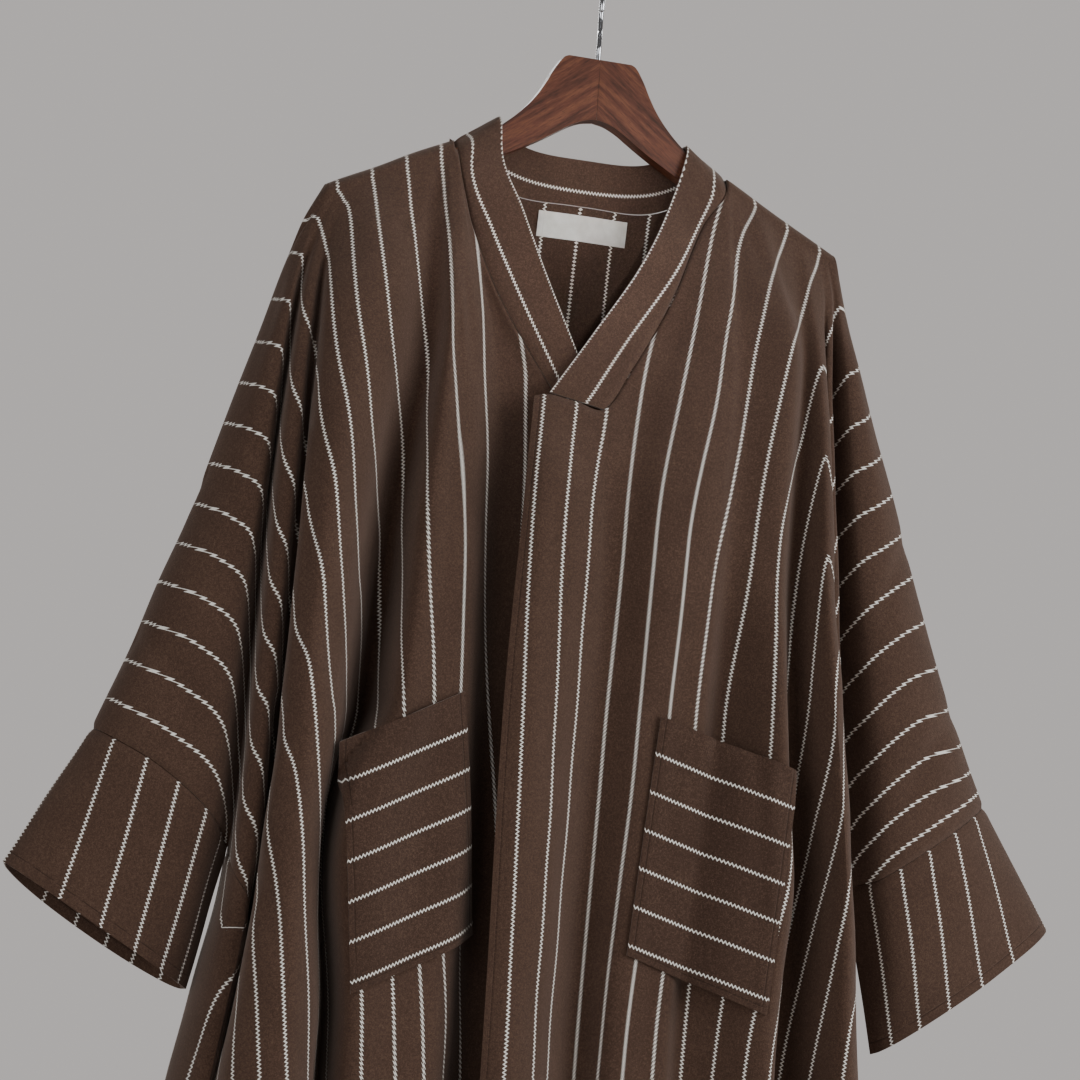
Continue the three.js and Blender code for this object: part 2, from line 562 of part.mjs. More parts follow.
// Cuff: the sleeve's end ring carried to the mouth
function cuffRows(loops) {
  const { cols, upperRows, side } = loops;
  const mouth = CUFF[loops.name];
  const ring = upperRows[upperRows.length - 1].slice(cols.valley, cols.underBack + 1);
  const overIndex = cols.over - cols.valley;
  const ends = ring.map((point, i) => {
    const front = i <= overIndex;
    const share = front ? 1 - i / overIndex : (i - overIndex) / (ring.length - 1 - overIndex);
    const from = new THREE.Vector2(mouth.over.out, mouth.over.z);
    const to = new THREE.Vector2(mouth.under.out, mouth.under.z);
    const place = from.lerp(to, (1 - Math.cos(share * Math.PI)) / 2 * 0.35 + share * 0.65);
    const bulge = Math.sin(share * Math.PI) ** 0.6 * mouth.half;
    const drop = front ? 0 : mouth.backDrop * Math.sin(share * Math.PI) ** 0.6;
    return new THREE.Vector3(side * place.x, front ? -bulge : bulge, place.y - drop);
  });
  return Array.from({ length: CUFF_ROWS + 1 }, (_, row) => ring.map((point, i) => (
    point.clone().lerp(ends[i], row / CUFF_ROWS))));
}

function garmentSurface() {
  const surface = new Surface();
  for (const loops of Object.values(sides)) {
    const { name, side, cols, upperRows, lowerRows } = loops;
    const part = (rows, from, to) => rows.map((row) => row.slice(from, to + 1));
    surface.grid(`front_${name}`, part(upperRows, 0, cols.over), side);
    surface.grid(`front_${name}`, part(lowerRows, 0, cols.seam), side);
    surface.grid("back", part(upperRows, cols.over, cols.end), side);
    surface.grid("back", part(lowerRows, cols.seam, lowerRows[0].length - 1), side);
    surface.grid(`cuff_${name}`, cuffRows(loops), side);
    surface.turn(lowerRows[0][cols.valley], new THREE.Vector3(0, 0, -1));
  }
  surface.grid("neckband", neckbandRows(), -1);
  return surface;
}

// Neckband: from the right front's end round the back neck to the left front's end
function bandEdge(name, share) {
  const rows = BAND_EDGE[name].map((row) => [-row.along, row.out, row.z, row.y]);
  const [out, z, y] = slide(rows, -share);
  return new THREE.Vector3(sides[name].side * out, y, z);
}

function neckbandRows() {
  const rows = [];
  const push = (seam, edge) => rows.push([seam, seam.clone().lerp(edge, 0.5), edge]);
  const frontPart = (name, first) => {
    const line = sides[name].upperRows[0].slice(first, sides[name].cols.neckFront + 1).reverse();
    const runs = [0];
    for (let i = 1; i < line.length; i += 1) runs.push(runs[i - 1] + line[i].distanceTo(line[i - 1]));
    return line.map((point, i) => [point, bandEdge(name, runs[i] / runs[runs.length - 1])]);
  };
  const backPart = (name) => {
    const { upperRows, cols } = sides[name];
    return upperRows[0].slice(cols.neckBack).map((point) => {
      const share = Math.abs(point.x) / NECK_CORNER.out;
      const corner = bandEdge(name, 0);
      const z = lerp(BAND_BACK.z, corner.z, share ** 4);
      return [point, new THREE.Vector3(corner.x * share, BAND_BACK.y * Math.sqrt(1 - share ** 8), z)];
    });
  };
  const leftFirst = LEFT_FRONT.slice(0, 3).reduce((sum, row) => sum + row.steps, 0);
  frontPart("right", 0).reverse().forEach(([seam, edge]) => push(seam, edge));
  backPart("right").slice(1).forEach(([seam, edge]) => push(seam, edge));
  backPart("left").reverse().slice(1).forEach(([seam, edge]) => push(seam, edge));
  frontPart("left", leftFirst).slice(1).forEach(([seam, edge]) => push(seam, edge));
  return rows;
}

// Foremost depth of a front panel at a place
function frontDepth(loops, out, z) {
  const points = across(loops.front.slice(0, 12).map((line) => {
    const p = line.upper(z);
    return new THREE.Vector3(p.out, p.y, 0);
  }), Array(11).fill(6));
  let depth = 0;
  for (let i = 0; i + 1 < points.length; i += 1) {
    const [a, b] = [points[i], points[i + 1]];
    if ((a.x - out) * (b.x - out) > 0 || a.x === b.x) continue;
    depth = Math.min(depth, lerp(a.y, b.y, (out - a.x) / (b.x - a.x)));
  }
  return depth;
}

// Patch pocket: laid on the front, spanning its valleys, gaping a little at the mouth
function pocketRows(name) {
  const corner = POCKETS[name];
  const loops = sides[name];
  const lift = CLOTH + CLEAR + 0.9;
  const at = (s, t) => [0, 1].map((k) => lerp(lerp(corner.inTop[k], corner.outTop[k], s),
    lerp(corner.inLow[k], corner.outLow[k], s), t));
  const bodyDepth = (s, t) => {
    const [out, z] = at(s, t);
    return Math.min(...[-6, 0, 6].map((dx) => frontDepth(loops, out + dx, z)));
  };
  return Array.from({ length: POCKET_ROWS + 1 }, (_, r) => Array.from({ length: POCKET_COLS + 1 }, (__, c) => {
    const s = c / POCKET_COLS;
    const t = r / POCKET_ROWS;
    const [out, z] = at(s, t);
    const bridge = lerp(bodyDepth(0, t), bodyDepth(1, t), s) + corner.sag * Math.exp(-(((s - 0.36) / 0.2) ** 2));
    const gape = corner.gape * Math.sin(Math.PI * s) * Math.max(0, 1 - t / 0.4) ** 2;
    const depth = Math.min(bodyDepth(s, t), bridge) - lift - gape;
    return new THREE.Vector3(loops.side * out, depth, z);
  }));
}

// Label on the inside of the back, just under the band
function labelRows() {
  const columns = 8;
  return [LABEL.low, (LABEL.low + LABEL.top) / 2, LABEL.top].map((z) => (
    Array.from({ length: columns + 1 }, (_, i) => {
      const x = lerp(LABEL.left, LABEL.right, i / columns);
      return new THREE.Vector3(x, backDepth(x, z) - CLOTH - CLEAR, z);
    })));
}

// Depth of the back panel's outer face at a place
function backDepth(x, z) {
  const { upperRows, cols } = sides[x < 0 ? "right" : "left"];
  const line = [];
  for (let c = cols.neckBack; c <= cols.end; c += 1) {
    let r = 0;
    while (r + 2 < upperRows.length && upperRows[r + 1][c].z > z) r += 1;
    const [a, b] = [upperRows[r][c], upperRows[r + 1][c]];
    line.push(a.clone().lerp(b, (a.z - z) / (a.z - b.z)));
  }
  const i = Math.max(1, line.findIndex((point) => Math.abs(point.x) <= Math.abs(x)));
  const [a, b] = [line[i - 1], line[i]];
  return lerp(a.y, b.y, (x - a.x) / (b.x - a.x));
}

// Hanger half: the arm's outline with its long edges rounded over
function hangerHalf(side) {
  const outline = [[HANGER_JOINT, HANGER_TOP], ...ARM_TOP, ...ARM_TIP, ...ARM_LOW, [HANGER_JOINT, ARM_APEX]];
  const geometry = ringsFromOutline(outline.map(([out, z]) => new THREE.Vector2(out, z)));
  if (side < 0) mirrorX(geometry);
  return geometry;
}

// Body of an outline between two faces, its edge drawn in by a rounded step except at the joint
function ringsFromOutline(points) {
  const half = HANGER_THICK / 2;
  const levels = [[-half, HANGER_EDGE], [-half + 1.1, 1.1], [-half + HANGER_EDGE, 0], [half - HANGER_EDGE, 0],
    [half - 1.1, 1.1], [half, HANGER_EDGE]];
  const count = points.length;
  const drawn = (inset) => points.map((p, i) => {
    const before = points[(i + count - 1) % count];
    const after = points[(i + 1) % count];
    const along = after.clone().sub(before).normalize();
    const inward = new THREE.Vector2(-along.y, along.x).multiplyScalar(signedTurn(points));
    const moved = p.clone().addScaledVector(inward, inset);
    if (i === 0) return new THREE.Vector2(p.x, p.y - inset);
    if (i === count - 1) return new THREE.Vector2(p.x, p.y + inset);
    return moved;
  });
  const positions = [];
  const triangles = [];
  for (const [y, inset] of levels) drawn(inset).forEach((p) => positions.push(p.x, y, p.y));
  for (let level = 0; level + 1 < levels.length; level += 1) {
    for (let i = 0; i < count; i += 1) {
      const j = (i + 1) % count;
      const [a, b, c, d] = [level * count + i, level * count + j, (level + 1) * count + j, (level + 1) * count + i];
      triangles.push(a, d, c, a, c, b);
    }
  }
  const face = drawn(HANGER_EDGE);
  const turn = signedTurn(face);
  const topStart = (levels.length - 1) * count;
  for (const cap of THREE.ShapeUtils.triangulateShape(face, [])) {
    const [a, b, c] = signedTurn(cap.map((i) => face[i])) === turn ? cap : cap.reverse();
    triangles.push(a, b, c);
    triangles.push(topStart + c, topStart + b, topStart + a);
  }
  const geometry = new THREE.BufferGeometry();
  geometry.setAttribute("position", new THREE.Float32BufferAttribute(positions, 3));
  geometry.setIndex(triangles);
  return fixWinding(geometry);
}

const signedTurn = (points) => Math.sign(THREE.ShapeUtils.area(points)) || 1;

function volume(geometry) {
  const position = geometry.getAttribute("position");
  const index = geometry.getIndex().array;
  const p = [new THREE.Vector3(), new THREE.Vector3(), new THREE.Vector3()];
  let sum = 0;
  for (let i = 0; i < index.length; i += 3) {
    p.forEach((v, k) => v.fromBufferAttribute(position, index[i + k]));
    sum += p[0].dot(p[1].clone().cross(p[2])) / 6;
  }
  return sum;
}

function fixWinding(geometry) {
  if (volume(geometry) < 0) {
    const index = geometry.getIndex().array;
    for (let i = 0; i < index.length; i += 3) [index[i], index[i + 1]] = [index[i + 1], index[i]];
  }
  return geometry;
}

function mirrorX(geometry) {
  const position = geometry.getAttribute("position");
  for (let i = 0; i < position.count; i += 1) position.setX(i, -position.getX(i));
  fixWinding(geometry);
}

// Hook: stem up from the hanger, out to one side and over the rail
function hookGeometry() {
  const { wire, bend, rise, sides: count, tip } = HOOK;
  const centre = wire - bend;
  const path = [new THREE.Vector3(0, 0, HANGER_TOP + SEAM_GAP), new THREE.Vector3(0, 0, HANGER_TOP + rise)];
  for (let angle = -60; angle <= tip; angle += 20) {
    const turn = THREE.MathUtils.degToRad(angle);
    path.push(new THREE.Vector3(0, bend * Math.cos(turn), centre + bend * Math.sin(turn)));
  }
  const curve = new THREE.CatmullRomCurve3(path, false, "centripetal");
  const ring = Array.from({ length: count }, (_, i) => {
    const turn = (i / count) * Math.PI * 2;
    return new THREE.Vector2(wire * Math.cos(turn), wire * Math.sin(turn));
  });
  const geometry = new THREE.ExtrudeGeometry(new THREE.Shape(ring), { steps: 34, extrudePath: curve, bevelEnabled: false });
  geometry.rotateZ(THREE.MathUtils.degToRad(HOOK.turn));
  return geometry;
}

// Assembly

const FINISHES = {
  cloth: { color: COLOURS.cloth, roughness: 0.92, metalness: 0 },
  band: { color: COLOURS.band, roughness: 0.92, metalness: 0 },
  wood: { color: COLOURS.wood, roughness: 0.45, metalness: 0 },
  chrome: { color: COLOURS.chrome, roughness: 0.15, metalness: 1 },
  label: { color: COLOURS.label, roughness: 0.8, metalness: 0 },
};

const abaya = new THREE.Group();

function addPiece(name, geometry, finish) {
  const mesh = new THREE.Mesh(geometry, new THREE.MeshStandardMaterial(FINISHES[finish]));
  mesh.name = name;
  abaya.add(mesh);
}

const surface = garmentSurface();
for (const panel of ["front_right", "front_left", "back", "cuff_right", "cuff_left"]) {
  addPiece(panel, surface.wall(panel, CLOTH), "cloth");
}
addPiece("neckband", surface.wall("neckband", BAND_CLOTH, 2 * SEAM_GAP), "band");
addPiece("pocket_right", sheet(pocketRows("right"), CLOTH, -1), "cloth");
addPiece("pocket_left", sheet(pocketRows("left"), CLOTH, 1), "cloth");
addPiece("label", sheet(labelRows(), LABEL.thick, 1), "label");
addPiece("hanger_right", hangerHalf(-1), "wood");
addPiece("hanger_left", hangerHalf(1), "wood");
addPiece("hook", hookGeometry(), "chrome");

export default abaya;
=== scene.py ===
"""Looks of a batwing abaya in pinstriped brushed cloth, hung on a wooden hanger with a wire hook.

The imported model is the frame. Each cloth panel is laid again over its solid from the same fold
lines, finer and softer, and the hanger and its hook are modelled again with rounder edges.
Lengths are millimetres up to the moment a mesh is made, x runs to the wearer's left, y to the
back and z up from the inside top of the hook.
"""

import logging
import math
from collections.abc import Iterable, Sequence
from dataclasses import dataclass, field
from enum import Enum

import bmesh
import bpy
import numpy as np
from mathutils import Matrix, Vector


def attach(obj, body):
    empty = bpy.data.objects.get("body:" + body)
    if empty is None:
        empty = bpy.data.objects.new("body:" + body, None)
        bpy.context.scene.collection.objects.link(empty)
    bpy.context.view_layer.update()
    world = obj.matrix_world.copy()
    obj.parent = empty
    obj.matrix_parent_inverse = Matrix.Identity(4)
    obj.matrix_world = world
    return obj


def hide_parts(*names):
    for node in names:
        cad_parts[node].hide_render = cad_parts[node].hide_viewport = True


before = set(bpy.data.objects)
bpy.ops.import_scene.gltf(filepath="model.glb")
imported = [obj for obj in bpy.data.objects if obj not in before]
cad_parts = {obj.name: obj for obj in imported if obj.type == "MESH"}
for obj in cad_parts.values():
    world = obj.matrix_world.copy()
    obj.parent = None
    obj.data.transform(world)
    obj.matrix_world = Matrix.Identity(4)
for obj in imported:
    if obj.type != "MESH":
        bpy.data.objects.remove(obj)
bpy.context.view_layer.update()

LOG = logging.getLogger("abaya")
MM = 0.001
BODY = "root"

# Cloth, in millimetres
CLOTH = 1.6
BAND_CLOTH = 2.4
SEAM_GAP = 0.3
CLEAR = 0.35
MITRE = 0.42
STRIPE_GAP = 30.0
BAND_STRIPE_GAP = 31.0
BAND_SHIFT = 5.0
DRAW_BACK = 0.72
WIDEST_GAP, NARROWEST_GAP = 52.0, 17.0

# Distances that stand for no seam and no edge near
NO_SEAM = 99.0
NO_EDGE = 500.0

# Heights, with the inside top of the hook at nought
HANGER_TOP = -60.0
HEM = -1420.0
WING = -742.0
CORNER_OUT, CORNER_Z = 117.5, -142.5
SHOULDER_FALL = 0.516
SHOULDER_ROUND = 9.5
BACK_NECK_Z, BACK_NECK_Y = -178.0, 22.0
NECK_EASE = 36.0

# Rows and columns of the laid cloth
ROUND_STEPS = 9
UPPER_SHARES = (0.0, 0.1, 0.2, 0.3, 0.4, 0.5, 0.6, 0.7, 0.8, 0.89, 0.965, 1.0)
UPPER_SPLITS = (7, 7, 7, 7, 7, 7, 7, 7, 7, 6, 9)
LOWER_SHARES = (0.0, 0.035, 0.12, 0.27, 0.43, 0.62, 0.81, 1.0)
LOWER_SPLITS = (4, 7, 11, 11, 13, 13, 13)
FINER = 4
CORNER_BLEND = 12

# Outlines of a front, read for what is sewn on it
LEVEL_GAP = 2
OUTLINE_FOLDS = 12
OUTLINE_STEPS = 6

Row = tuple[float, float, float, float]


class Side(Enum):
    """The wearer's right is on the minus side of x."""

    RIGHT = -1
    LEFT = 1

    @property
    def word(self) -> str:
        """Name of the side as the nodes use it."""
        return self.name.lower()


class Facing(Enum):
    """Which way a panel faces."""

    FRONT = -1
    EDGE = 0
    BACK = 1


@dataclass(frozen=True)
class Top:
    """Start of a fold on the shoulder, the arm or the neck.

    Attributes:
        out: Distance from the centre.
        stripe: Stripe number there.
        z: Height, worked out on the shoulder if not given.
        y: Depth, given where the fold starts on the neck edge or the arm's edge.
        ease: How far down the first rows follow a fold that starts on the neck.
        lean: How far the fold moves out as it rolls over the shoulder.
        neck: True where it starts on the back neck.
    """

    out: float
    stripe: float
    z: float | None = None
    y: float | None = None
    ease: float = NECK_EASE
    lean: float = 0.0
    neck: bool = False


@dataclass(frozen=True)
class Fold:
    """One fold as a line down the cloth.

    Attributes:
        name: What the fold is.
        steps: Columns of cloth between it and the next fold, before they are made finer.
        top: Where it starts.
        at: Rows of height, distance out, depth and stripe number.
        below: The same on the back panel below the wing, where that differs.
        wing: Height where the wing's lower edge crosses it.
    """

    name: str
    steps: int
    top: Top
    at: tuple[Row, ...]
    below: tuple[Row, ...] = ()
    wing: float = WING


RIGHT_FRONT = (
    Fold("under edge", 3, Top(-12, 0.8, z=-400, y=-39),
         ((-600, -14, -34, 1.25), (-850, -14, -36, 2.5), (HEM, -14, -40, 4.3))),
    Fold("inner valley", 2, Top(79, 2.4, z=-270, y=-30),
         ((-300, 73, -26, 2.45), (-450, 64, -30, 2.45), (-620, 62, -30, 3.1), (-850, 61, -28, 3.8),
          (HEM, 70, -22, 6.4))),
    Fold("inner ridge", 2, Top(101, 3.1, z=-214, y=-19),
         ((-300, 97, -37, 3.3), (-450, 92, -50, 3.8), (-620, 88, -56, 3.85), (-850, 92, -62, 5.4),
          (HEM, 108, -78, 8.6))),
    Fold("neck side", 2, Top(115.6, 3.5, z=-157, y=-12, ease=15),
         ((-185, 115, -18, 3.6), (-240, 114, -32, 3.75), (-300, 112, -45, 3.85), (-450, 111, -57, 4.3),
          (-620, 120, -62, 5.35), (-850, 130, -67, 7.1), (HEM, 150, -86, 9.8))),
    Fold("inner ridge edge", 2, Top(CORNER_OUT, 3.58, lean=3.5),
         ((-185, 121.8, -17, 3.8), (-240, 121.5, -32, 4.0), (-300, 121, -46, 4.1),
          (-450, 131, -60, 5.0), (-600, 142, -66, 6.1), (-660, 170, -73, 7.5), (-720, 177, -74, 8.3),
          (-850, 163, -68, 8.4), (HEM, 186, -88, 11.3))),
    Fold("middle valley", 2, Top(130, 4.04),
         ((-300, 131, -26, 4.8), (-450, 147, -16, 6.4), (-600, 157, -6, 7.7), (-660, 177, -14, 8.5),
          (-720, 184, -16, 9.2), (-850, 172, -16, 9.4), (HEM, 200, -20, 13.6))),
    Fold("outer ridge flank", 2, Top(158, 5.06),
         ((-300, 168, -50, 5.9), (-450, 188, -66, 7.9), (-620, 194, -67, 10.1), (-720, 196, -63, 11.2),
          (-850, 190, -68, 11.7), (HEM, 228, -88, 16.1))),
    Fold("outer ridge", 2, Top(181, 5.9),
         ((-300, 197, -55, 7.0), (-450, 211, -79, 9.2), (-620, 217, -79, 11.4), (-720, 217, -80, 12.3),
          (-850, 216, -88, 13.0), (HEM, 272, -108, 17.7))),
    Fold("outer ridge edge", 1, Top(196, 6.45),
         ((-240, 213, -21, 7.7), (-300, 219, -44, 8.2), (-450, 229, -66, 9.95), (-620, 233, -66, 11.9),
          (-758, 241, -66, 13.8), (-850, 249, -68, 14.95), (HEM, 318, -84, 19.4)), wing=-758),
    Fold("side seam", 1, Top(200, 6.6),
         ((-240, 216, -18, 7.8), (-300, 222, -27, 8.6), (-450, 226, -42, 10.5), (-620, 227, -30, 13.4),
          (-761, 231, -18, 15.9), (-850, 243, -20, 16.6), (HEM, 340, -14, 21.8)),
         below=((-761, 231, -18, 18.6), (-850, 243, -20, 21.0), (HEM, 340, -14, 22.0)), wing=-761),
    Fold("strip inner edge", 1, Top(203.5, 6.73),
         ((-240, 219.5, -17, 7.95), (-300, 229, -36, 8.75), (-450, 235, -54, 11.1),
          (-620, 239, -53, 15.0), (-757, 242, -50, 18.0)),
         below=((-757, 242, -50, 18.4), (-850, 254, -44, 20.5), (HEM, 352, -40, 21.6)), wing=-757),
    Fold("strip outer edge", 1, Top(207, 6.86),
         ((-240, 223.5, -15.5, 8.1), (-300, 236, -34, 8.95), (-450, 246, -50, 11.55),
          (-620, 251, -47, 15.55), (-740, 255, -43, 18.35)),
         below=((-740, 255, -43, 18.3), (-850, 267, -34, 19.9), (HEM, 372, -30, 21.0)), wing=-740),
    Fold("underarm valley", 1, Top(210.5, 6.98),
         ((-240, 227, -12, 8.3), (-300, 238, -18, 9.4), (-450, 247, -14, 12.8), (-620, 251, -14, 17.1),
          (-672, 252, -13, 18.4), (-704, 253, -12, 19.3), (-722, 254, -5, 19.8)), wing=-722),
    Fold("sleeve inner", 2, Top(213.5, 7.1),
         ((-240, 231, -12, 8.5), (-300, 245, -29, 10.0), (-450, 256, -36, 14.0), (-620, 269, -38, 18.65),
          (-699, 271, -34, 20.7)), wing=-699),
    Fold("sleeve middle", 2, Top(216.2, 7.19),
         ((-240, 234.5, -9.5, 8.55), (-300, 250, -26, 10.1), (-450, 276, -35, 14.4),
          (-600, 304, -40, 18.9), (-664, 316, -37, 20.75)), wing=-664),
    Fold("sleeve outer", 2, Top(218.2, 7.27),
         ((-240, 237.5, -6, 8.6), (-300, 254, -14, 10.15), (-450, 292, -21, 14.6),
          (-600, 340, -25, 19.35), (-644, 354, -22, 20.8)), wing=-644),
)
RIGHT_OVERARM = Fold(
    "overarm", 2, Top(219.5, 7.31, y=0),
    ((-226, 235.5, 0, 8.0), (-255, 244, 0, 9.0), (-300, 257, 0, 10.2), (-450, 300, 0, 14.7),
     (-600, 350, 0, 19.5), (-638, 365, 0, 20.8)), wing=-638)

LEFT_FRONT = (
    Fold("front edge", 1, Top(-48.5, -0.4, z=-350.5, y=-49),
         ((-450, -57, -68, -0.45), (-620, -62, -71, -0.5), (-850, -60, -74, -0.5),
          (HEM, -62, -84, -0.5))),
    Fold("front edge crown", 2, Top(-37, 0.15, z=-348, y=-50.5),
         ((-450, -45, -75, 0.25), (-620, -44, -77, 0.1), (-850, -42, -79, 0.03), (HEM, -42, -90, 0.05))),
    Fold("front flat", 2, Top(-13, 1.0, z=-351.5, y=-50.5),
         ((-450, -22, -73, 1.05), (-620, -18, -68, 1.0), (-850, -15, -68, 1.1), (HEM, -14, -80, 1.1))),
    Fold("band end", 1, Top(10.3, 1.9, z=-355.5, y=-49),
         ((-450, 5, -65, 2.2), (-620, 7, -51, 2.2), (-850, 7, -47, 2.4), (HEM, 10, -54, 2.15))),
    Fold("inner valley", 2, Top(35, 2.75, z=-319, y=-41),
         ((-450, 28, -60, 2.9), (-620, 28, -43, 2.9), (-850, 28, -35, 3.0), (HEM, 34, -34, 3.4))),
    Fold("inner ridge", 2, Top(66, 3.15, z=-262, y=-31),
         ((-300, 64, -40, 3.4), (-450, 52, -75, 4.0), (-620, 54, -62, 4.1), (-850, 47, -60, 4.4),
          (HEM, 60, -84, 5.5))),
    Fold("inner ridge edge", 2, Top(97, 3.75, z=-186, y=-16),
         ((-300, 99, -50, 4.6), (-450, 84, -78, 5.2), (-620, 86, -62, 5.4), (-850, 74, -64, 5.7),
          (HEM, 94, -92, 6.8))),
    Fold("neck side", 2, Top(115.6, 4.1, z=-157, y=-12, ease=15),
         ((-185, 115.2, -19, 4.4), (-240, 115.4, -35, 4.8), (-300, 115, -49, 5.35),
          (-450, 103, -74, 5.9), (-620, 106, -62, 6.3), (-850, 91, -64, 6.3), (HEM, 115, -76, 7.7))),
    Fold("middle valley", 2, Top(CORNER_OUT, 4.2, lean=3.5),
         ((-185, 122.5, -17, 4.75), (-240, 125, -33, 5.2), (-300, 128, -47, 5.75), (-450, 121, -66, 6.3),
          (-600, 126, -47, 6.9), (-680, 110, -52, 6.8), (-850, 108, -52, 6.9), (HEM, 136, -50, 9.0))),
    Fold("middle ridge edge", 2, Top(150, 5.27),
         ((-300, 167, -56, 7.15), (-450, 157, -76, 8.0), (-620, 168, -84, 8.4), (-720, 176, -88, 9.0),
          (-850, 169, -90, 9.9), (HEM, 214, -102, 12.1))),
    Fold("outer valley", 2, Top(178, 6.18),
         ((-300, 184, -38, 7.5), (-450, 179, -50, 8.65), (-620, 187, -46, 9.5), (-720, 198, -38, 10.5),
          (-850, 195, -36, 11.6), (HEM, 240, -34, 14.6))),
    Fold("outer ridge", 2, Top(188, 6.5),
         ((-300, 195, -45, 8.0), (-450, 196, -77, 9.9), (-620, 213, -90, 11.5), (-720, 224, -92, 12.9),
          (-850, 232, -90, 14.0), (HEM, 296, -108, 17.9))),
    Fold("outer ridge edge", 1, Top(197, 6.8),
         ((-240, 205, -20, 7.5), (-300, 203, -38, 8.0), (-450, 207, -67, 9.6), (-620, 227, -70, 12.6),
          (-758, 242, -70, 13.7), (-850, 250, -72, 14.7), (HEM, 324, -84, 19.3)), wing=-758),
    Fold("side seam", 1, Top(201, 6.95),
         ((-240, 208, -16.5, 7.6), (-300, 206, -19, 8.2), (-450, 206, -38, 10.3), (-620, 221, -28, 13.4),
          (-761, 233, -16, 15.6), (-850, 243, -18, 16.5), (HEM, 344, -14, 21.8)),
         below=((-761, 233, -16, 18.6), (-850, 243, -18, 21.0), (HEM, 344, -14, 22.0)), wing=-761),
    Fold("strip inner edge", 1, Top(204, 7.05),
         ((-240, 211, -16, 7.7), (-300, 209, -25, 8.35), (-450, 214, -38, 10.8), (-620, 231, -33, 14.0),
          (-757, 244, -30, 17.0)),
         below=((-757, 244, -30, 18.4), (-850, 253, -30, 20.5), (HEM, 354, -36, 21.6)), wing=-757),
    Fold("strip outer edge", 1, Top(207, 7.15),
         ((-240, 215, -15, 7.8), (-300, 215, -24, 8.45), (-450, 224, -35, 11.3), (-620, 243, -30, 14.8),
          (-740, 256, -27, 17.6)),
         below=((-740, 256, -27, 18.3), (-850, 265, -24, 19.9), (HEM, 374, -28, 21.0)), wing=-740),
    Fold("underarm valley", 1, Top(210.5, 7.25),
         ((-240, 218, -11, 7.9), (-300, 218, -10, 8.6), (-450, 228, -9, 12.1), (-620, 248, -11, 16.2),
          (-672, 254, -12, 17.6), (-704, 257, -12, 18.6), (-722, 260, -5, 19.1)), wing=-722),
    Fold("sleeve inner", 2, Top(213.5, 7.35),
         ((-240, 222, -12.5, 8.0), (-300, 226, -26, 9.0), (-450, 240, -35, 12.8), (-620, 267, -38, 17.2),
          (-711, 278, -34, 20.3)), wing=-711),
    Fold("sleeve middle", 2, Top(216, 7.43),
         ((-240, 226.5, -10.5, 8.0), (-300, 237, -26, 9.15), (-450, 267, -38, 13.3),
          (-600, 304, -42, 17.6), (-679, 326, -38, 20.6)), wing=-679),
    Fold("sleeve outer", 2, Top(217.8, 7.49),
         ((-240, 229.5, -6.5, 8.0), (-300, 246, -14, 9.3), (-450, 293, -22, 13.7),
          (-600, 346, -26, 18.1), (-652, 368, -22, 20.7)), wing=-652),
)
LEFT_OVERARM = Fold(
    "overarm", 2, Top(219, 7.53, y=0),
    ((-217, 224.5, 0, 7.6), (-252, 236, 0, 8.0), (-300, 251, 0, 9.4), (-450, 303, 0, 13.8),
     (-600, 361, 0, 18.3), (-644, 383, 0, 20.7)), wing=-644)

# The back of each sleeve, from its outer edge to the underarm
RIGHT_SLEEVE_BACK = (
    Fold("sleeve outer", 2, Top(218, 7.27),
         ((-240, 237.5, 6, 8.6), (-300, 254, 14, 10.15), (-450, 292, 21, 14.6), (-600, 340, 25, 19.35),
          (-644, 354, 22, 20.8)), wing=-644),
    Fold("sleeve middle", 2, Top(215.5, 7.19),
         ((-240, 234.5, 10, 8.55), (-300, 250, 24, 10.1), (-450, 276, 34, 14.4), (-600, 304, 38, 18.9),
          (-668, 316, 36, 20.75)), wing=-668),
    Fold("sleeve inner", 2, Top(211.5, 7.1),
         ((-240, 231, 12, 8.5), (-300, 245, 22, 10.0), (-450, 258, 30, 14.0), (-620, 270, 32, 18.6),
          (-703, 272, 28, 20.7)), wing=-703),
    Fold("underarm valley", 2, Top(207, 6.9),
         ((-240, 226, 9.5, 8.2), (-300, 237, 6, 9.0), (-450, 246, 9, 12.4), (-620, 250, 9, 16.6),
          (-672, 252, 7, 17.9), (-704, 253, 5, 18.7), (-722, 254, -5, 19.0), (-850, 275, 4, 19.3),
          (HEM, 384, 2, 20.4)), wing=-722),
)
LEFT_SLEEVE_BACK = (
    Fold("sleeve outer", 2, Top(217.6, 7.49),
         ((-240, 229.5, 6.5, 8.0), (-300, 246, 14, 9.3), (-450, 293, 22, 13.7), (-600, 346, 26, 18.1),
          (-652, 368, 22, 20.7)), wing=-652),
    Fold("sleeve middle", 2, Top(215.2, 7.43),
         ((-240, 226.5, 10.5, 8.0), (-300, 237, 25, 9.15), (-450, 267, 36, 13.3), (-600, 304, 40, 17.6),
          (-683, 326, 37, 20.6)), wing=-683),
    Fold("sleeve inner", 2, Top(211.5, 7.35),
         ((-240, 222.5, 12.5, 8.0), (-300, 228, 22, 9.0), (-450, 244, 30, 12.8), (-620, 268, 32, 17.2),
          (-714, 280, 28, 20.4)), wing=-714),
    Fold("underarm valley", 2, Top(207, 7.2),
         ((-240, 218, 10.5, 7.9), (-300, 220, 7, 8.6), (-450, 230, 10, 12.1), (-620, 249, 10, 16.2),
          (-672, 254, 8, 17.6), (-704, 257, 5, 18.6), (-722, 260, -5, 19.0), (-850, 273, 6, 19.3),
          (HEM, 386, 4, 20.4)), wing=-722),
)
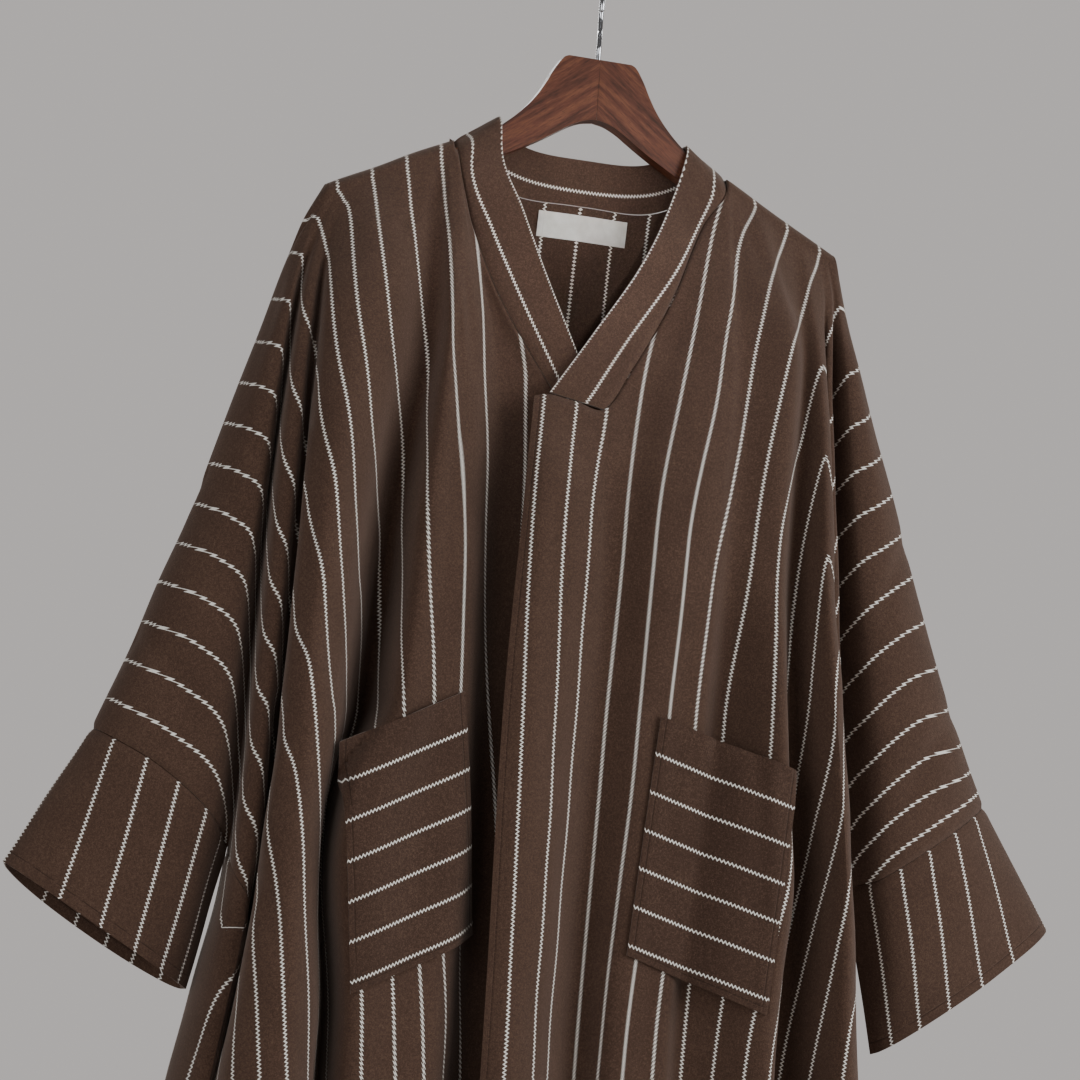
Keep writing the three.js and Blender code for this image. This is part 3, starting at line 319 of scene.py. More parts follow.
BACK = (
    Fold("side flank", 3, Top(198, 6.6),
         ((-300, 214, 34, 7.9), (-450, 220, 38, 10.1), (-620, 232, 38, 12.8), (-742, 247, 34, 15.2),
          (-850, 264, 38, 16.4), (HEM, 366, 42, 19.4))),
    Fold("outer ridge", 3, Top(183, 6.0),
         ((-300, 196, 48, 7.2), (-450, 198, 62, 8.9), (-620, 204, 72, 10.8), (-850, 224, 76, 13.0),
          (HEM, 312, 92, 16.4))),
    Fold("outer valley", 3, Top(163, 5.3),
         ((-300, 168, 40, 6.0), (-450, 165, 42, 7.3), (-620, 166, 36, 8.6), (-850, 178, 32, 10.2),
          (HEM, 244, 40, 13.2))),
    Fold("middle ridge", 3, Top(135, 4.3),
         ((-300, 134, 46, 4.9), (-450, 131, 60, 5.6), (-620, 130, 70, 6.3), (-850, 142, 78, 7.7),
          (HEM, 190, 100, 10.2))),
    Fold("inner flank", 1, Top(CORNER_OUT, 3.9),
         ((-300, 106, 40, 3.7), (-450, 104, 46, 4.2), (-620, 104, 47, 4.8), (-850, 114, 48, 5.8),
          (HEM, 152, 56, 7.8))),
    Fold("inner valley", 3, Top(113, 3.75, neck=True, ease=13),
         ((-300, 92, 38, 3.2), (-450, 88, 40, 3.5), (-620, 86, 36, 4.0), (-850, 94, 34, 4.9),
          (HEM, 126, 38, 6.4))),
    Fold("inner ridge", 3, Top(62, 2.05, neck=True),
         ((-300, 48, 41, 1.6), (-450, 46, 54, 1.7), (-620, 44, 62, 1.9), (-850, 48, 70, 2.2),
          (HEM, 66, 90, 3.0))),
    Fold("centre back", 0, Top(0, 0.0, neck=True),
         ((-300, 0, 37, 0), (-450, 0, 42, 0), (-620, 0, 46, 0), (-850, 0, 50, 0), (HEM, 0, 58, 0))),
)


def slide(rows: np.ndarray, z: np.ndarray) -> np.ndarray:
    """Monotone cubic through rows of height and values.

    Args:
        rows: Heights, falling, in the first column and values in the others.
        z: Heights to read.

    Returns:
        One row of values for each height.
    """
    heights, values = rows[:, 0], rows[:, 1:]
    last = len(rows) - 1
    steps = heights[:-1] - heights[1:]
    slopes = (values[1:] - values[:-1]) / steps[:, None]
    tangents = np.empty_like(values)
    tangents[0], tangents[last] = slopes[0], slopes[-1]
    if last > 1:
        before, after = slopes[:-1], slopes[1:]
        total = before + after
        safe = np.where(total == 0, 1.0, total)
        tangents[1:last] = np.where(before * after <= 0, 0.0, 2 * before * after / safe)
    low = np.clip(z, heights[-1], heights[0])
    i = np.clip(np.searchsorted(-heights, -low, side="right") - 1, 0, last - 1)
    step = steps[i][:, None]
    t = ((heights[i] - low) / steps[i])[:, None]
    t2, t3 = t * t, t * t * t
    return ((2 * t3 - 3 * t2 + 1) * values[i] + (t3 - 2 * t2 + t) * step * tangents[i]
            + (3 * t2 - 2 * t3) * values[i + 1] + (t3 - t2) * step * tangents[i + 1])


def across(points: np.ndarray, steps: Sequence[int]) -> np.ndarray:
    """Centripetal spline across the folds, row by row.

    Args:
        points: Rows x folds x (x, y, z, stripe).
        steps: Columns between each fold and the next.

    Returns:
        Rows x columns x (x, y, z, stripe), the last fold included.
    """
    def gap(a: np.ndarray, b: np.ndarray) -> np.ndarray:
        """Root of the distance between two columns."""
        distance = np.linalg.norm(a[:, :3] - b[:, :3], axis=1)
        return np.maximum(0.05, np.sqrt(distance))[:, None]

    count = points.shape[1]
    columns = []
    for i in range(count - 1):
        p1, p2 = points[:, i], points[:, i + 1]
        p0 = points[:, i - 1] if i else 2 * p1 - p2
        p3 = points[:, i + 2] if i + 2 < count else 2 * p2 - p1
        d1, d2, d3 = gap(p0, p1), gap(p1, p2), gap(p2, p3)
        m1 = ((p1 - p0) / d1 - (p2 - p0) / (d1 + d2) + (p2 - p1) / d2) * d2
        m2 = ((p2 - p1) / d2 - (p3 - p1) / (d2 + d3) + (p3 - p2) / d3) * d2
        for s in range(steps[i]):
            t = s / steps[i]
            t2, t3 = t * t, t * t * t
            columns.append((2 * t3 - 3 * t2 + 1) * p1 + (t3 - 2 * t2 + t) * m1
                           + (3 * t2 - 2 * t3) * p2 + (t3 - t2) * m2)
    columns.append(points[:, -1])
    return np.stack(columns, axis=1)


def across_corners(points: np.ndarray, steps: Sequence[int], corners: Sequence[int]) -> np.ndarray:
    """The same, turning sharply at the given folds.

    Args:
        points: Rows x folds x (x, y, z, stripe).
        steps: Columns between each fold and the next.
        corners: Numbers of the folds where the cloth turns.

    Returns:
        Rows x columns x (x, y, z, stripe).
    """
    ends = [0, *corners, points.shape[1] - 1]
    runs = []
    for start, end in zip(ends[:-1], ends[1:]):
        run = across(points[:, start:end + 1], steps[start:end])
        runs.append(run if not runs else run[:, 1:])
    return np.concatenate(runs, axis=1)


def split(shares: Sequence[float], counts: Sequence[int]) -> np.ndarray:
    """Shares with each gap split evenly into the given number of rows, the first share left out."""
    rows = [np.linspace(a, b, n + 1)[1:] for a, b, n in zip(shares[:-1], shares[1:], counts)]
    return np.concatenate(rows)


def unit(vectors: np.ndarray) -> np.ndarray:
    """Vectors at length one, and nought where they have none."""
    length = np.linalg.norm(vectors, axis=-1, keepdims=True)
    return vectors / np.where(length == 0, 1.0, length)


@dataclass
class FoldLine:
    """A fold ready to be read at any height.

    Attributes:
        fold: The fold's table.
        facing: Which way its panel faces.
    """

    fold: Fold
    facing: Facing

    def __post_init__(self) -> None:
        """Works out the fold's start and its rows."""
        top = self.fold.top
        self.rolled = top.y is None and not top.neck
        self.y, self.z = top.y or 0.0, top.z
        if top.neck:
            share = top.out / CORNER_OUT
            self.z = BACK_NECK_Z + (CORNER_Z - BACK_NECK_Z) * share**4
            self.y = BACK_NECK_Y * math.sqrt(1 - share**8)
        if self.z is None:
            self.z = CORNER_Z - (top.out - CORNER_OUT) * SHOULDER_FALL
        first = (self.z, top.out, self.y, top.stripe)
        if self.rolled:
            first = (self.z - SHOULDER_ROUND, top.out + top.lean, self.facing.value * SHOULDER_ROUND,
                     top.stripe)
        self.upper_rows = np.array([first, *self.fold.at], float)
        self.lower_rows = np.array(self.fold.below or self.upper_rows, float)

    def read(self, z: np.ndarray, rows: np.ndarray) -> np.ndarray:
        """Points of the fold.

        Args:
            z: Heights to read.
            rows: The table that holds there.

        Returns:
            Rows of distance out, depth, height and stripe number.
        """
        out, depth, stripe = slide(rows, z).T
        if self.rolled:
            fall = self.z - z
            rest = np.clip(SHOULDER_ROUND - fall, 0, SHOULDER_ROUND)
            roll = self.facing.value * np.sqrt(SHOULDER_ROUND**2 - rest**2)
            share = fall / SHOULDER_ROUND
            top = self.fold.top
            over = fall < SHOULDER_ROUND
            depth = np.where(over, roll, depth)
            out = np.where(over, top.out + top.lean * share, out)
        return np.stack([out, depth, z, stripe], axis=1)

    def upper_heights(self) -> np.ndarray:
        """Heights of its rows from the shoulder or neck down to the wing's lower edge.

        Returns:
            The heights, falling.
        """
        turn = np.linspace(0, 1, ROUND_STEPS + 1)
        if self.rolled:
            first = self.z - SHOULDER_ROUND * (1 - np.cos(turn * math.pi / 2))
        else:
            first = self.z - self.fold.top.ease * turn
        shares = split(UPPER_SHARES, UPPER_SPLITS)
        return np.concatenate([first, first[-1] + (self.fold.wing - first[-1]) * shares])

    def lower_heights(self) -> np.ndarray:
        """Heights of its rows from the wing's lower edge down to the hem."""
        shares = np.concatenate([[0.0], split(LOWER_SHARES, LOWER_SPLITS)])
        return self.fold.wing + (HEM - self.fold.wing) * shares


@dataclass
class Block:
    """A grid of cloth that belongs to one panel.

    Attributes:
        panel: Name of the panel.
        points: Rows x columns x (x, y, z).
        facts: Rows x columns x (stripe number, way along, stripe gap, edge, hem, seam).
        side: Plus or minus one, so that its faces point out.
    """

    panel: str
    points: np.ndarray
    facts: np.ndarray
    side: int


def along_rows(points: np.ndarray, start: np.ndarray | None = None) -> np.ndarray:
    """Way down each column from its first row.

    Args:
        points: Rows x columns x (x, y, z).
        start: Way at the first row, nought if not given.

    Returns:
        Rows x columns of millimetres.
    """
    steps = np.linalg.norm(np.diff(points, axis=0), axis=2)
    way = np.concatenate([np.zeros((1, points.shape[1])), np.cumsum(steps, axis=0)])
    return way if start is None else way + start


def stripe_gaps(points: np.ndarray, stripes: np.ndarray) -> np.ndarray:
    """Distance on the cloth from a stripe to the next, so that stripes keep their width.

    Args:
        points: Rows x columns x (x, y, z).
        stripes: Rows x columns of stripe numbers.

    Returns:
        Rows x columns of millimetres.
    """
    down, over = np.gradient(points, axis=0), np.gradient(points, axis=1)
    k_down, k_over = np.gradient(stripes)
    e, g = (over * over).sum(2), (down * down).sum(2)
    f = (over * down).sum(2)
    slope = (k_over**2 * g - 2 * k_over * k_down * f + k_down**2 * e) / np.maximum(e * g - f * f, 1e-6)
    return 1 / np.clip(np.sqrt(np.maximum(slope, 1e-9)), 1 / WIDEST_GAP, 1 / NARROWEST_GAP)


@dataclass
class GarmentSide:
    """One half of the garment as grids that run from the centre front to the centre back.

    Attributes:
        side: Which half.
        front: Folds of the front.
        overarm: The fold along the arm's edge.
        sleeve_back: Folds of the sleeve's back.
    """

    side: Side
    front: tuple[Fold, ...]
    overarm: Fold
    sleeve_back: tuple[Fold, ...]

    def __post_init__(self) -> None:
        """Reads all folds and lays the upper and lower grids."""
        self.outlines: dict[int, np.ndarray] = {}
        self.front_lines = [FoldLine(fold, Facing.FRONT) for fold in self.front]
        sleeve = [FoldLine(fold, Facing.BACK) for fold in self.sleeve_back]
        back = [FoldLine(fold, Facing.BACK) for fold in BACK]
        names = [fold.name for fold in self.front]
        seam, valley = names.index("side seam"), names.index("underarm valley")
        upper = [*self.front_lines, FoldLine(self.overarm, Facing.EDGE), *sleeve, *back]
        lower = [*self.front_lines[:valley], sleeve[-1], *back]
        upper_steps = [line.fold.steps * FINER for line in upper]
        lower_steps = [line.fold.steps * FINER for line in lower]
        corners = [i for i, line in enumerate(upper) if line.fold.top.out == CORNER_OUT]

        def first_column(index: int) -> int:
            """Column where a fold lies."""
            return sum(upper_steps[:index])

        self.seam = first_column(seam)
        self.valley = first_column(valley)
        self.over = first_column(len(self.front))
        self.under_back = first_column(len(self.front) + len(sleeve))
        self.neck_front = first_column(corners[0])
        self.neck_back = first_column(corners[1])

        def read(lines: Sequence[FoldLine], table: str, heights: str) -> np.ndarray:
            """Points of all folds on this side.

            Args:
                lines: The folds.
                table: Name of their table.
                heights: Name of their rows' heights.

            Returns:
                Rows x folds x (x, y, z, stripe).
            """
            points = np.stack([line.read(getattr(line, heights)(), getattr(line, table))
                               for line in lines], axis=1)
            points[:, :, 0] *= self.side.value
            return points

        points = read(upper, "upper_rows", "upper_heights")
        sharp, soft = across_corners(points, upper_steps, corners), across(points, upper_steps)
        rows = np.arange(len(points))
        blend = np.clip((rows - ROUND_STEPS) / CORNER_BLEND, 0, 1)[:, None, None]
        blend = blend * blend * (3 - 2 * blend)
        self.upper = sharp * (1 - blend) + soft * blend
        joined = np.concatenate([self.upper[-1, :self.valley], self.upper[-1, self.under_back:]])
        self.lower_front = across(read(lower, "upper_rows", "lower_heights"), lower_steps)
        self.lower_back = across(read(lower, "lower_rows", "lower_heights"), lower_steps)
        for grid in (self.lower_front, self.lower_back):
            grid[0, :, :3] = joined[:, :3]
        self.upper_way = along_rows(self.upper[:, :, :3])
        start = np.concatenate([self.upper_way[-1, :self.valley], self.upper_way[-1, self.under_back:]])
        self.lower_way = along_rows(self.lower_front[:, :, :3], start)

    def facts(self, grid: np.ndarray, way: np.ndarray, upper: bool) -> np.ndarray:
        """What the finish needs to know at each point of a grid.

        Args:
            grid: Rows x columns x (x, y, z, stripe).
            way: Way down the cloth at each point.
            upper: True for the grid above the wing's lower edge.

        Returns:
            Rows x columns x (stripe, way, stripe gap, front edge, hem, seam).
        """
        points, stripes = grid[:, :, :3], grid[:, :, 3]
        gaps = stripe_gaps(points, stripes)
        edge = np.cumsum(np.linalg.norm(np.diff(points, axis=1, prepend=points[:, :1]), axis=2), axis=1)
        hem = grid[:, :, 2] - HEM
        seam = np.full(stripes.shape, NO_SEAM)
        if upper:
            column = np.arange(grid.shape[1])
            neck = (column <= self.neck_front) | (column >= self.neck_back)
            seam[:, neck] = way[:, neck]
            sleeve = (column >= self.valley) & (column <= self.under_back)
            seam[:, sleeve] = np.minimum(seam[:, sleeve], (way[-1] - way)[:, sleeve])
        return np.stack([stripes, way, gaps, edge, hem, seam], axis=2)

    def blocks(self) -> list[Block]:
        """Grids of the front and the back panel on this side.

        Returns:
            Two grids of the front, then two of the back.
        """
        side = self.side.value
        upper = self.facts(self.upper, self.upper_way, True)
        front = self.facts(self.lower_front, self.lower_way, False)
        back = self.facts(self.lower_back, self.lower_way, False)
        word = f"front_{self.side.word}"
        cut = slice(0, self.over + 1), slice(self.over, None)
        return [
            Block(word, self.upper[:, cut[0], :3], upper[:, cut[0]], side),
            Block(word, self.lower_front[:, :self.seam + 1, :3], front[:, :self.seam + 1], side),
            Block("back", self.upper[:, cut[1], :3], upper[:, cut[1]], side),
            Block("back", self.lower_back[:, self.seam:, :3], back[:, self.seam:], side),
        ]

    def front_depth(self, out: float, z: float) -> float:
        """Foremost depth of the front panel, read between two outlines of it.

        Args:
            out: Distance from the centre.
            z: Height.

        Returns:
            Depth in millimetres, nought where there is no cloth.
        """
        low = LEVEL_GAP * math.floor(z / LEVEL_GAP)
        share = (z - low) / LEVEL_GAP
        return (1 - share) * self.depth_on(low, out) + share * self.depth_on(low + LEVEL_GAP, out)

    def depth_on(self, level: int, out: float) -> float:
        """Foremost depth of the outline at a height, which is kept for the next call.

        Args:
            level: Height of the outline.
            out: Distance from the centre.

        Returns:
            Depth in millimetres.
        """
        if level not in self.outlines:
            lines = self.front_lines[:OUTLINE_FOLDS]
            points = np.stack([line.read(np.array([float(level)]), line.upper_rows) for line in lines],
                              axis=1)
            points[:, :, 2] = 0
            self.outlines[level] = across(points, [OUTLINE_STEPS] * (OUTLINE_FOLDS - 1))[0]
        a, b = self.outlines[level][:-1], self.outlines[level][1:]
        width = b[:, 0] - a[:, 0]
        crosses = ((a[:, 0] - out) * (b[:, 0] - out) <= 0) & (width != 0)
        share = (out - a[:, 0]) / np.where(width == 0, 1, width)
        depths = a[:, 1] + (b[:, 1] - a[:, 1]) * share
        return float(depths[crosses].min(initial=0.0))


@dataclass(frozen=True)
class Crease:
    """A soft trough, or a ridge where its depth is negative.

    Attributes:
        facing: The side of the garment it lies on.
        start: Its upper end as x and z.
        end: Its lower end as x and z.
        width: Half width of the trough.
        depth: How deep it is at its middle.
        bow: How far its middle bends to +x.
    """

    facing: Facing
    start: tuple[float, float]
    end: tuple[float, float]
    width: float
    depth: float
    bow: float = 0.0

    def push(self, points: np.ndarray) -> np.ndarray:
        """How far each point moves out of the cloth.

        Args:
            points: Points in millimetres, one a row.

        Returns:
            Millimetres for each point.
        """
        a, b = np.array(self.start), np.array(self.end)
        run = b - a
        place = points[:, [0, 2]]
        t = np.clip((place - a) @ run / (run @ run), 0, 1)
        middle = a + t[:, None] * run
        middle[:, 0] += self.bow * 4 * t * (1 - t)
        off = np.linalg.norm(place - middle, axis=1)
        taper = np.sqrt(np.maximum(np.sin(math.pi * t), 0))
        return -self.depth * np.exp(-(off / self.width)**2) * taper


FRONT, REAR = Facing.FRONT, Facing.BACK
CREASES = (
    Crease(FRONT, (-236, -600), (-222, -680), 9, 3.5, bow=4),
    Crease(FRONT, (-246, -720), (-218, -800), 8, 3.0, bow=-4),
    Crease(FRONT, (-205, -520), (-190, -610), 10, 2.4),
    Crease(FRONT, (-128, -160), (-140, -215), 5, 2.2, bow=3),
    Crease(FRONT, (-146, -172), (-166, -240), 7, 1.8, bow=3),
    Crease(FRONT, (-112, -300), (-104, -400), 8, 1.6),
    Crease(FRONT, (-300, -430), (-262, -500), 9, 2.6, bow=4),
    Crease(FRONT, (-340, -560), (-285, -640), 10, 2.6, bow=5),
    Crease(FRONT, (132, -158), (150, -230), 6, 2.0, bow=-3),
    Crease(FRONT, (160, -175), (176, -260), 7, 1.8, bow=-4),
    Crease(FRONT, (206, -560), (214, -660), 9, 2.8, bow=5),
    Crease(FRONT, (150, -420), (158, -520), 10, 2.0, bow=-4),
    Crease(FRONT, (300, -420), (262, -500), 9, 2.6, bow=-4),
    Crease(FRONT, (352, -560), (290, -650), 10, 2.8, bow=-5),
    Crease(FRONT, (60, -560), (70, -640), 10, 1.8),
    Crease(FRONT, (10, -380), (26, -560), 7, 2.6),
    Crease(FRONT, (-226, -310), (-227, -600), 7, 2.4),
    Crease(FRONT, (-147, -470), (-157, -610), 7, 1.8),
    Crease(FRONT, (-152, -330), (-176, -520), 10, 1.6, bow=4),
    Crease(FRONT, (-36, -420), (-30, -520), 10, 1.2, bow=3),
    Crease(FRONT, (-30, -700), (-38, -820), 10, 1.4, bow=-3),
    Crease(REAR, (-190, -520), (-206, -640), 9, 3.0, bow=4),
    Crease(REAR, (-120, -300), (-136, -420), 9, 2.4, bow=-4),
    Crease(REAR, (60, -300), (46, -420), 10, 2.0, bow=4),
    Crease(REAR, (196, -560), (212, -690), 9, 3.0, bow=-4),
    Crease(REAR, (-300, -440), (-262, -520), 9, 2.6),
    Crease(REAR, (300, -450), (264, -530), 9, 2.6),
    Crease(REAR, (-50, -700), (-60, -860), 10, 2.2, bow=5),
    Crease(REAR, (130, -760), (146, -900), 10, 2.6, bow=-5),
)


@dataclass(frozen=True)
class Unevenness:
    """Slow waves that keep the laid cloth from looking pressed.

    Attributes:
        height: Greatest height of all waves together.
        waves: Rows of wave number across, wave number down, both per millimetre, and phase.
        slant: How much the depth shifts the waves across.
    """

    height: float = 1.3
    waves: tuple[tuple[float, float, float], ...] = (
        (0.071, 0.013, 0.4), (0.033, 0.041, 2.1), (0.019, 0.067, 4.0), (0.093, 0.027, 1.2),
        (0.051, 0.058, 5.3), (0.012, 0.029, 3.3))
    slant: float = 0.6

    def push(self, points: np.ndarray) -> np.ndarray:
        """How far each point moves out of the cloth.

        Args:
            points: Points in millimetres, one a row.

        Returns:
            Millimetres for each point.
        """
        across_way = points[:, 0] + self.slant * points[:, 1]
        total = sum(np.sin(a * across_way + b * points[:, 2] + phase) for a, b, phase in self.waves)
        return self.height * total / len(self.waves)


@dataclass
class ClothSurface:
    """The garment's whole outer surface, so that panels agree along their seams.

    Attributes:
        blocks: Grids of all panels.
        creases: Troughs and ridges, given one by one.
        turned: Points whose offset is given, with that offset.
        unevenness: Slow waves of the whole surface, or none.
        seam_dip: How deep the cloth is drawn in at a seam.
        seam_width: How far from the seam that reaches.
    """

    blocks: list[Block]
    creases: tuple[Crease, ...] = ()
    turned: tuple[tuple[np.ndarray, np.ndarray], ...] = ()
    unevenness: Unevenness | None = None
    seam_dip: float = 1.7
    seam_width: float = 3.0

    def __post_init__(self) -> None:
        """Merges the grids' points, numbers their faces and moves the points for creases."""
        every = np.concatenate([block.points.reshape(-1, 3) for block in self.blocks])
        keys, first, number = np.unique(np.round(every, 3), axis=0, return_index=True, return_inverse=True)
        self.points = every[first].copy()
        number = number.reshape(-1)
        self.flat = np.abs(self.points[:, 1]) < 1e-6
        self.faces: dict[str, list[np.ndarray]] = {}
        self.facts: dict[str, dict[str, np.ndarray]] = {}
        facts = np.concatenate([block.facts.reshape(-1, block.facts.shape[2]) for block in self.blocks])
        seams = np.full(len(self.points), NO_SEAM)
        np.minimum.at(seams, number, facts[:, 5])
        start = 0
        for block in self.blocks:
            rows, columns = block.points.shape[:2]
            grid = number[start:start + rows * columns].reshape(rows, columns)
            quads = np.stack([grid[:-1, :-1], grid[1:, :-1], grid[1:, 1:], grid[:-1, 1:]], axis=2)
            quads = quads.reshape(-1, 4)
            if block.side < 0:
                quads = quads[:, ::-1]
            self.faces.setdefault(block.panel, []).append(quads)
            own = self.facts.setdefault(block.panel, {})
            own.setdefault("number", []).append(grid.reshape(-1))
            own.setdefault("value", []).append(block.facts.reshape(rows * columns, -1))
            start += rows * columns
        self.all_faces = np.concatenate([np.concatenate(group) for group in self.faces.values()])
        self.fixed = {self.nearest(point): normal for point, normal in self.turned}
        normals = self.offsets(lengthened=False)
        front = normals[:, 1] < 0
        push = -self.seam_dip * np.exp(-(seams / self.seam_width)**2)
        if self.unevenness:
            push += self.unevenness.push(self.points)
        for crease in self.creases:
            facing = front if crease.facing is Facing.FRONT else ~front
            push += np.where(facing, crease.push(self.points), 0)
        self.points += normals * push[:, None]
        self.wall_offsets = self.offsets(lengthened=True)

    def nearest(self, point: np.ndarray) -> int:
        """Number of the point that lies nearest to a place."""
        return int(np.argmin(((self.points - point)**2).sum(1)))

    def offsets(self, lengthened: bool) -> np.ndarray:
        """Which way is out at each point.

        Args:
            lengthened: True to lengthen them in folds, so that a wall keeps its thickness.

        Returns:
            One vector for each point.
        """
        triangles = np.concatenate([self.all_faces[:, [0, 1, 2]], self.all_faces[:, [0, 2, 3]]])
        corners = self.points[triangles]
        normals = unit(np.cross(corners[:, 1] - corners[:, 0], corners[:, 2] - corners[:, 0]))
        sums = np.zeros_like(self.points)
        angles = []
        for k in range(3):
            to = unit(corners[:, (k + 1) % 3] - corners[:, k])
            back = unit(corners[:, (k + 2) % 3] - corners[:, k])
            angle = np.arccos(np.clip((to * back).sum(1), -1, 1))
            angles.append(angle)
            np.add.at(sums, triangles[:, k], normals * angle[:, None])
        for index, normal in self.fixed.items():
            sums[index] = normal
        sums[self.flat, 1] = 0
        sums = unit(sums)
        if not lengthened:
            return sums
        fit, weight = np.zeros(len(sums)), np.zeros(len(sums))
        for k in range(3):
            point = triangles[:, k]
            np.add.at(fit, point, angles[k] * (normals * sums[point]).sum(1))
            np.add.at(weight, point, angles[k])
        ratio = np.maximum(MITRE, fit / np.maximum(weight, 1e-9))
        ratio[list(self.fixed)] = 1
        return sums / ratio[:, None]

    def wall(self, panel: str, thick: float, gap: float = SEAM_GAP) -> "Shell":
        """Closed wall of one panel, drawn back by half a seam gap where it meets another.

        Args:
            panel: Name of the panel.
            thick: Thickness of its cloth.
            gap: Gap left at its seams.

        Returns:
            The wall's points, faces and facts.
        """
        own = np.concatenate(self.faces[panel])
        others = {int(i) for name, group in self.faces.items() if name != panel
                  for i in np.unique(np.concatenate(group))}
        used, local = np.unique(own, return_inverse=True)
        local = local.reshape(own.shape)
        points, offsets = self.points[used].copy(), self.wall_offsets[used]
        pairs, open_sides = open_edges(local)
        corners = points[local]
        normals = unit(np.cross(corners[:, 2] - corners[:, 0], corners[:, 3] - corners[:, 1]))
        inward = np.zeros_like(points)
        for (p, q), face in zip(pairs, open_sides):
            inside = np.cross(normals[face], unit(points[q] - points[p]))
            inward[p] += inside
            inward[q] += inside
        meets = np.array([int(i) in others for i in used]) | self.flat[used]
        meets &= np.linalg.norm(inward, axis=1) > 0
        straight = unit(offsets)
        square = unit(inward - straight * (inward * straight).sum(1, keepdims=True))
        points[meets] += square[meets] * gap * DRAW_BACK
        number = np.concatenate(self.facts[panel]["number"])
        value = np.concatenate(self.facts[panel]["value"])
        _, first = np.unique(number, return_index=True)
        return Shell.around(points, points - offsets * thick, local, pairs, value[first])


def open_edges(faces: np.ndarray) -> tuple[np.ndarray, np.ndarray]:
    """Edges that only one face has.

    Args:
        faces: Rows of four point numbers.

    Returns:
        The edges as pairs of points in their face's order, and the number of that face.
    """
    pairs = np.stack([faces, np.roll(faces, -1, axis=1)], axis=2).reshape(-1, 2)
    owner = np.repeat(np.arange(len(faces)), 4)
    top = int(faces.max()) + 1
    forward, backward = pairs[:, 0] * top + pairs[:, 1], pairs[:, 1] * top + pairs[:, 0]
    alone = ~np.isin(forward, backward)
    return pairs[alone], owner[alone]


@dataclass
class Shell:
    """A closed cloth wall.

    Attributes:
        points: All points, the outer ones first.
        faces: All faces.
        facts: One row of facts for each point.
    """

    points: np.ndarray
    faces: np.ndarray
    facts: np.ndarray

    @classmethod
    def around(cls, outer: np.ndarray, inner: np.ndarray, faces: np.ndarray, edges: np.ndarray,
               facts: np.ndarray) -> "Shell":
        """Joins an outer and an inner face along their open edges.

        Args:
            outer: Points of the outer face.
            inner: Points of the inner face.
            faces: Faces of the outer face.
            edges: Its open edges.
            facts: One row of facts for each outer point.

        Returns:
            The closed wall.
        """
        count = len(outer)
        rim = np.stack([edges[:, 1], edges[:, 0], edges[:, 0] + count, edges[:, 1] + count], axis=1)
        every = np.concatenate([faces, faces[:, ::-1] + count, rim])
        return cls(np.concatenate([outer, inner]), every, np.concatenate([facts, facts]))

    def mesh(self, name: str, smooth_angle: float = 50.0) -> bpy.types.Object:
        """Makes the wall a mesh object in metres.

        Args:
            name: Name of the piece.
            smooth_angle: Edges that turn by more degrees than this stay sharp.

        Returns:
            The new object.
        """
        data = bpy.data.meshes.new(name)
        data.from_pydata((self.points * MM).tolist(), [], self.faces.tolist())
        for label, columns in (("stripes", (0, 1, 2)), ("sewn", (3, 4, 1))):
            layer = data.attributes.new(label, "FLOAT_VECTOR", "POINT")
            layer.data.foreach_set("vector", self.facts[:, columns].astype(np.float32).reshape(-1))
        data.validate()
        piece = bpy.data.objects.new(name, data)
        bpy.context.scene.collection.objects.link(piece)
        select_only(piece)
        bpy.ops.object.shade_smooth_by_angle(angle=math.radians(smooth_angle))
        return piece


def select_only(piece: bpy.types.Object) -> None:
    """Selects one object and makes it the active one.

    Args:
        piece: The object.
    """
    if bpy.context.mode != "OBJECT":
        bpy.ops.object.mode_set(mode="OBJECT")
    bpy.ops.object.select_all(action="DESELECT")
    piece.select_set(True)
    bpy.context.view_layer.objects.active = piece


def settle(piece: bpy.types.Object, node: str | Sequence[str],
           material: bpy.types.Material) -> bpy.types.Object:
    """Dresses a piece and lets it ride on the garment in place of its solids.

    Args:
        piece: The piece.
        node: The solid or solids that it stands for.
        material: Its material.

    Returns:
        The same piece.
    """
    piece.data.materials.clear()
    piece.data.materials.append(material)
    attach(piece, BODY)
    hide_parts(*([node] if isinstance(node, str) else node))
    LOG.info("%s: %d faces", piece.name, len(piece.data.polygons))
    return piece


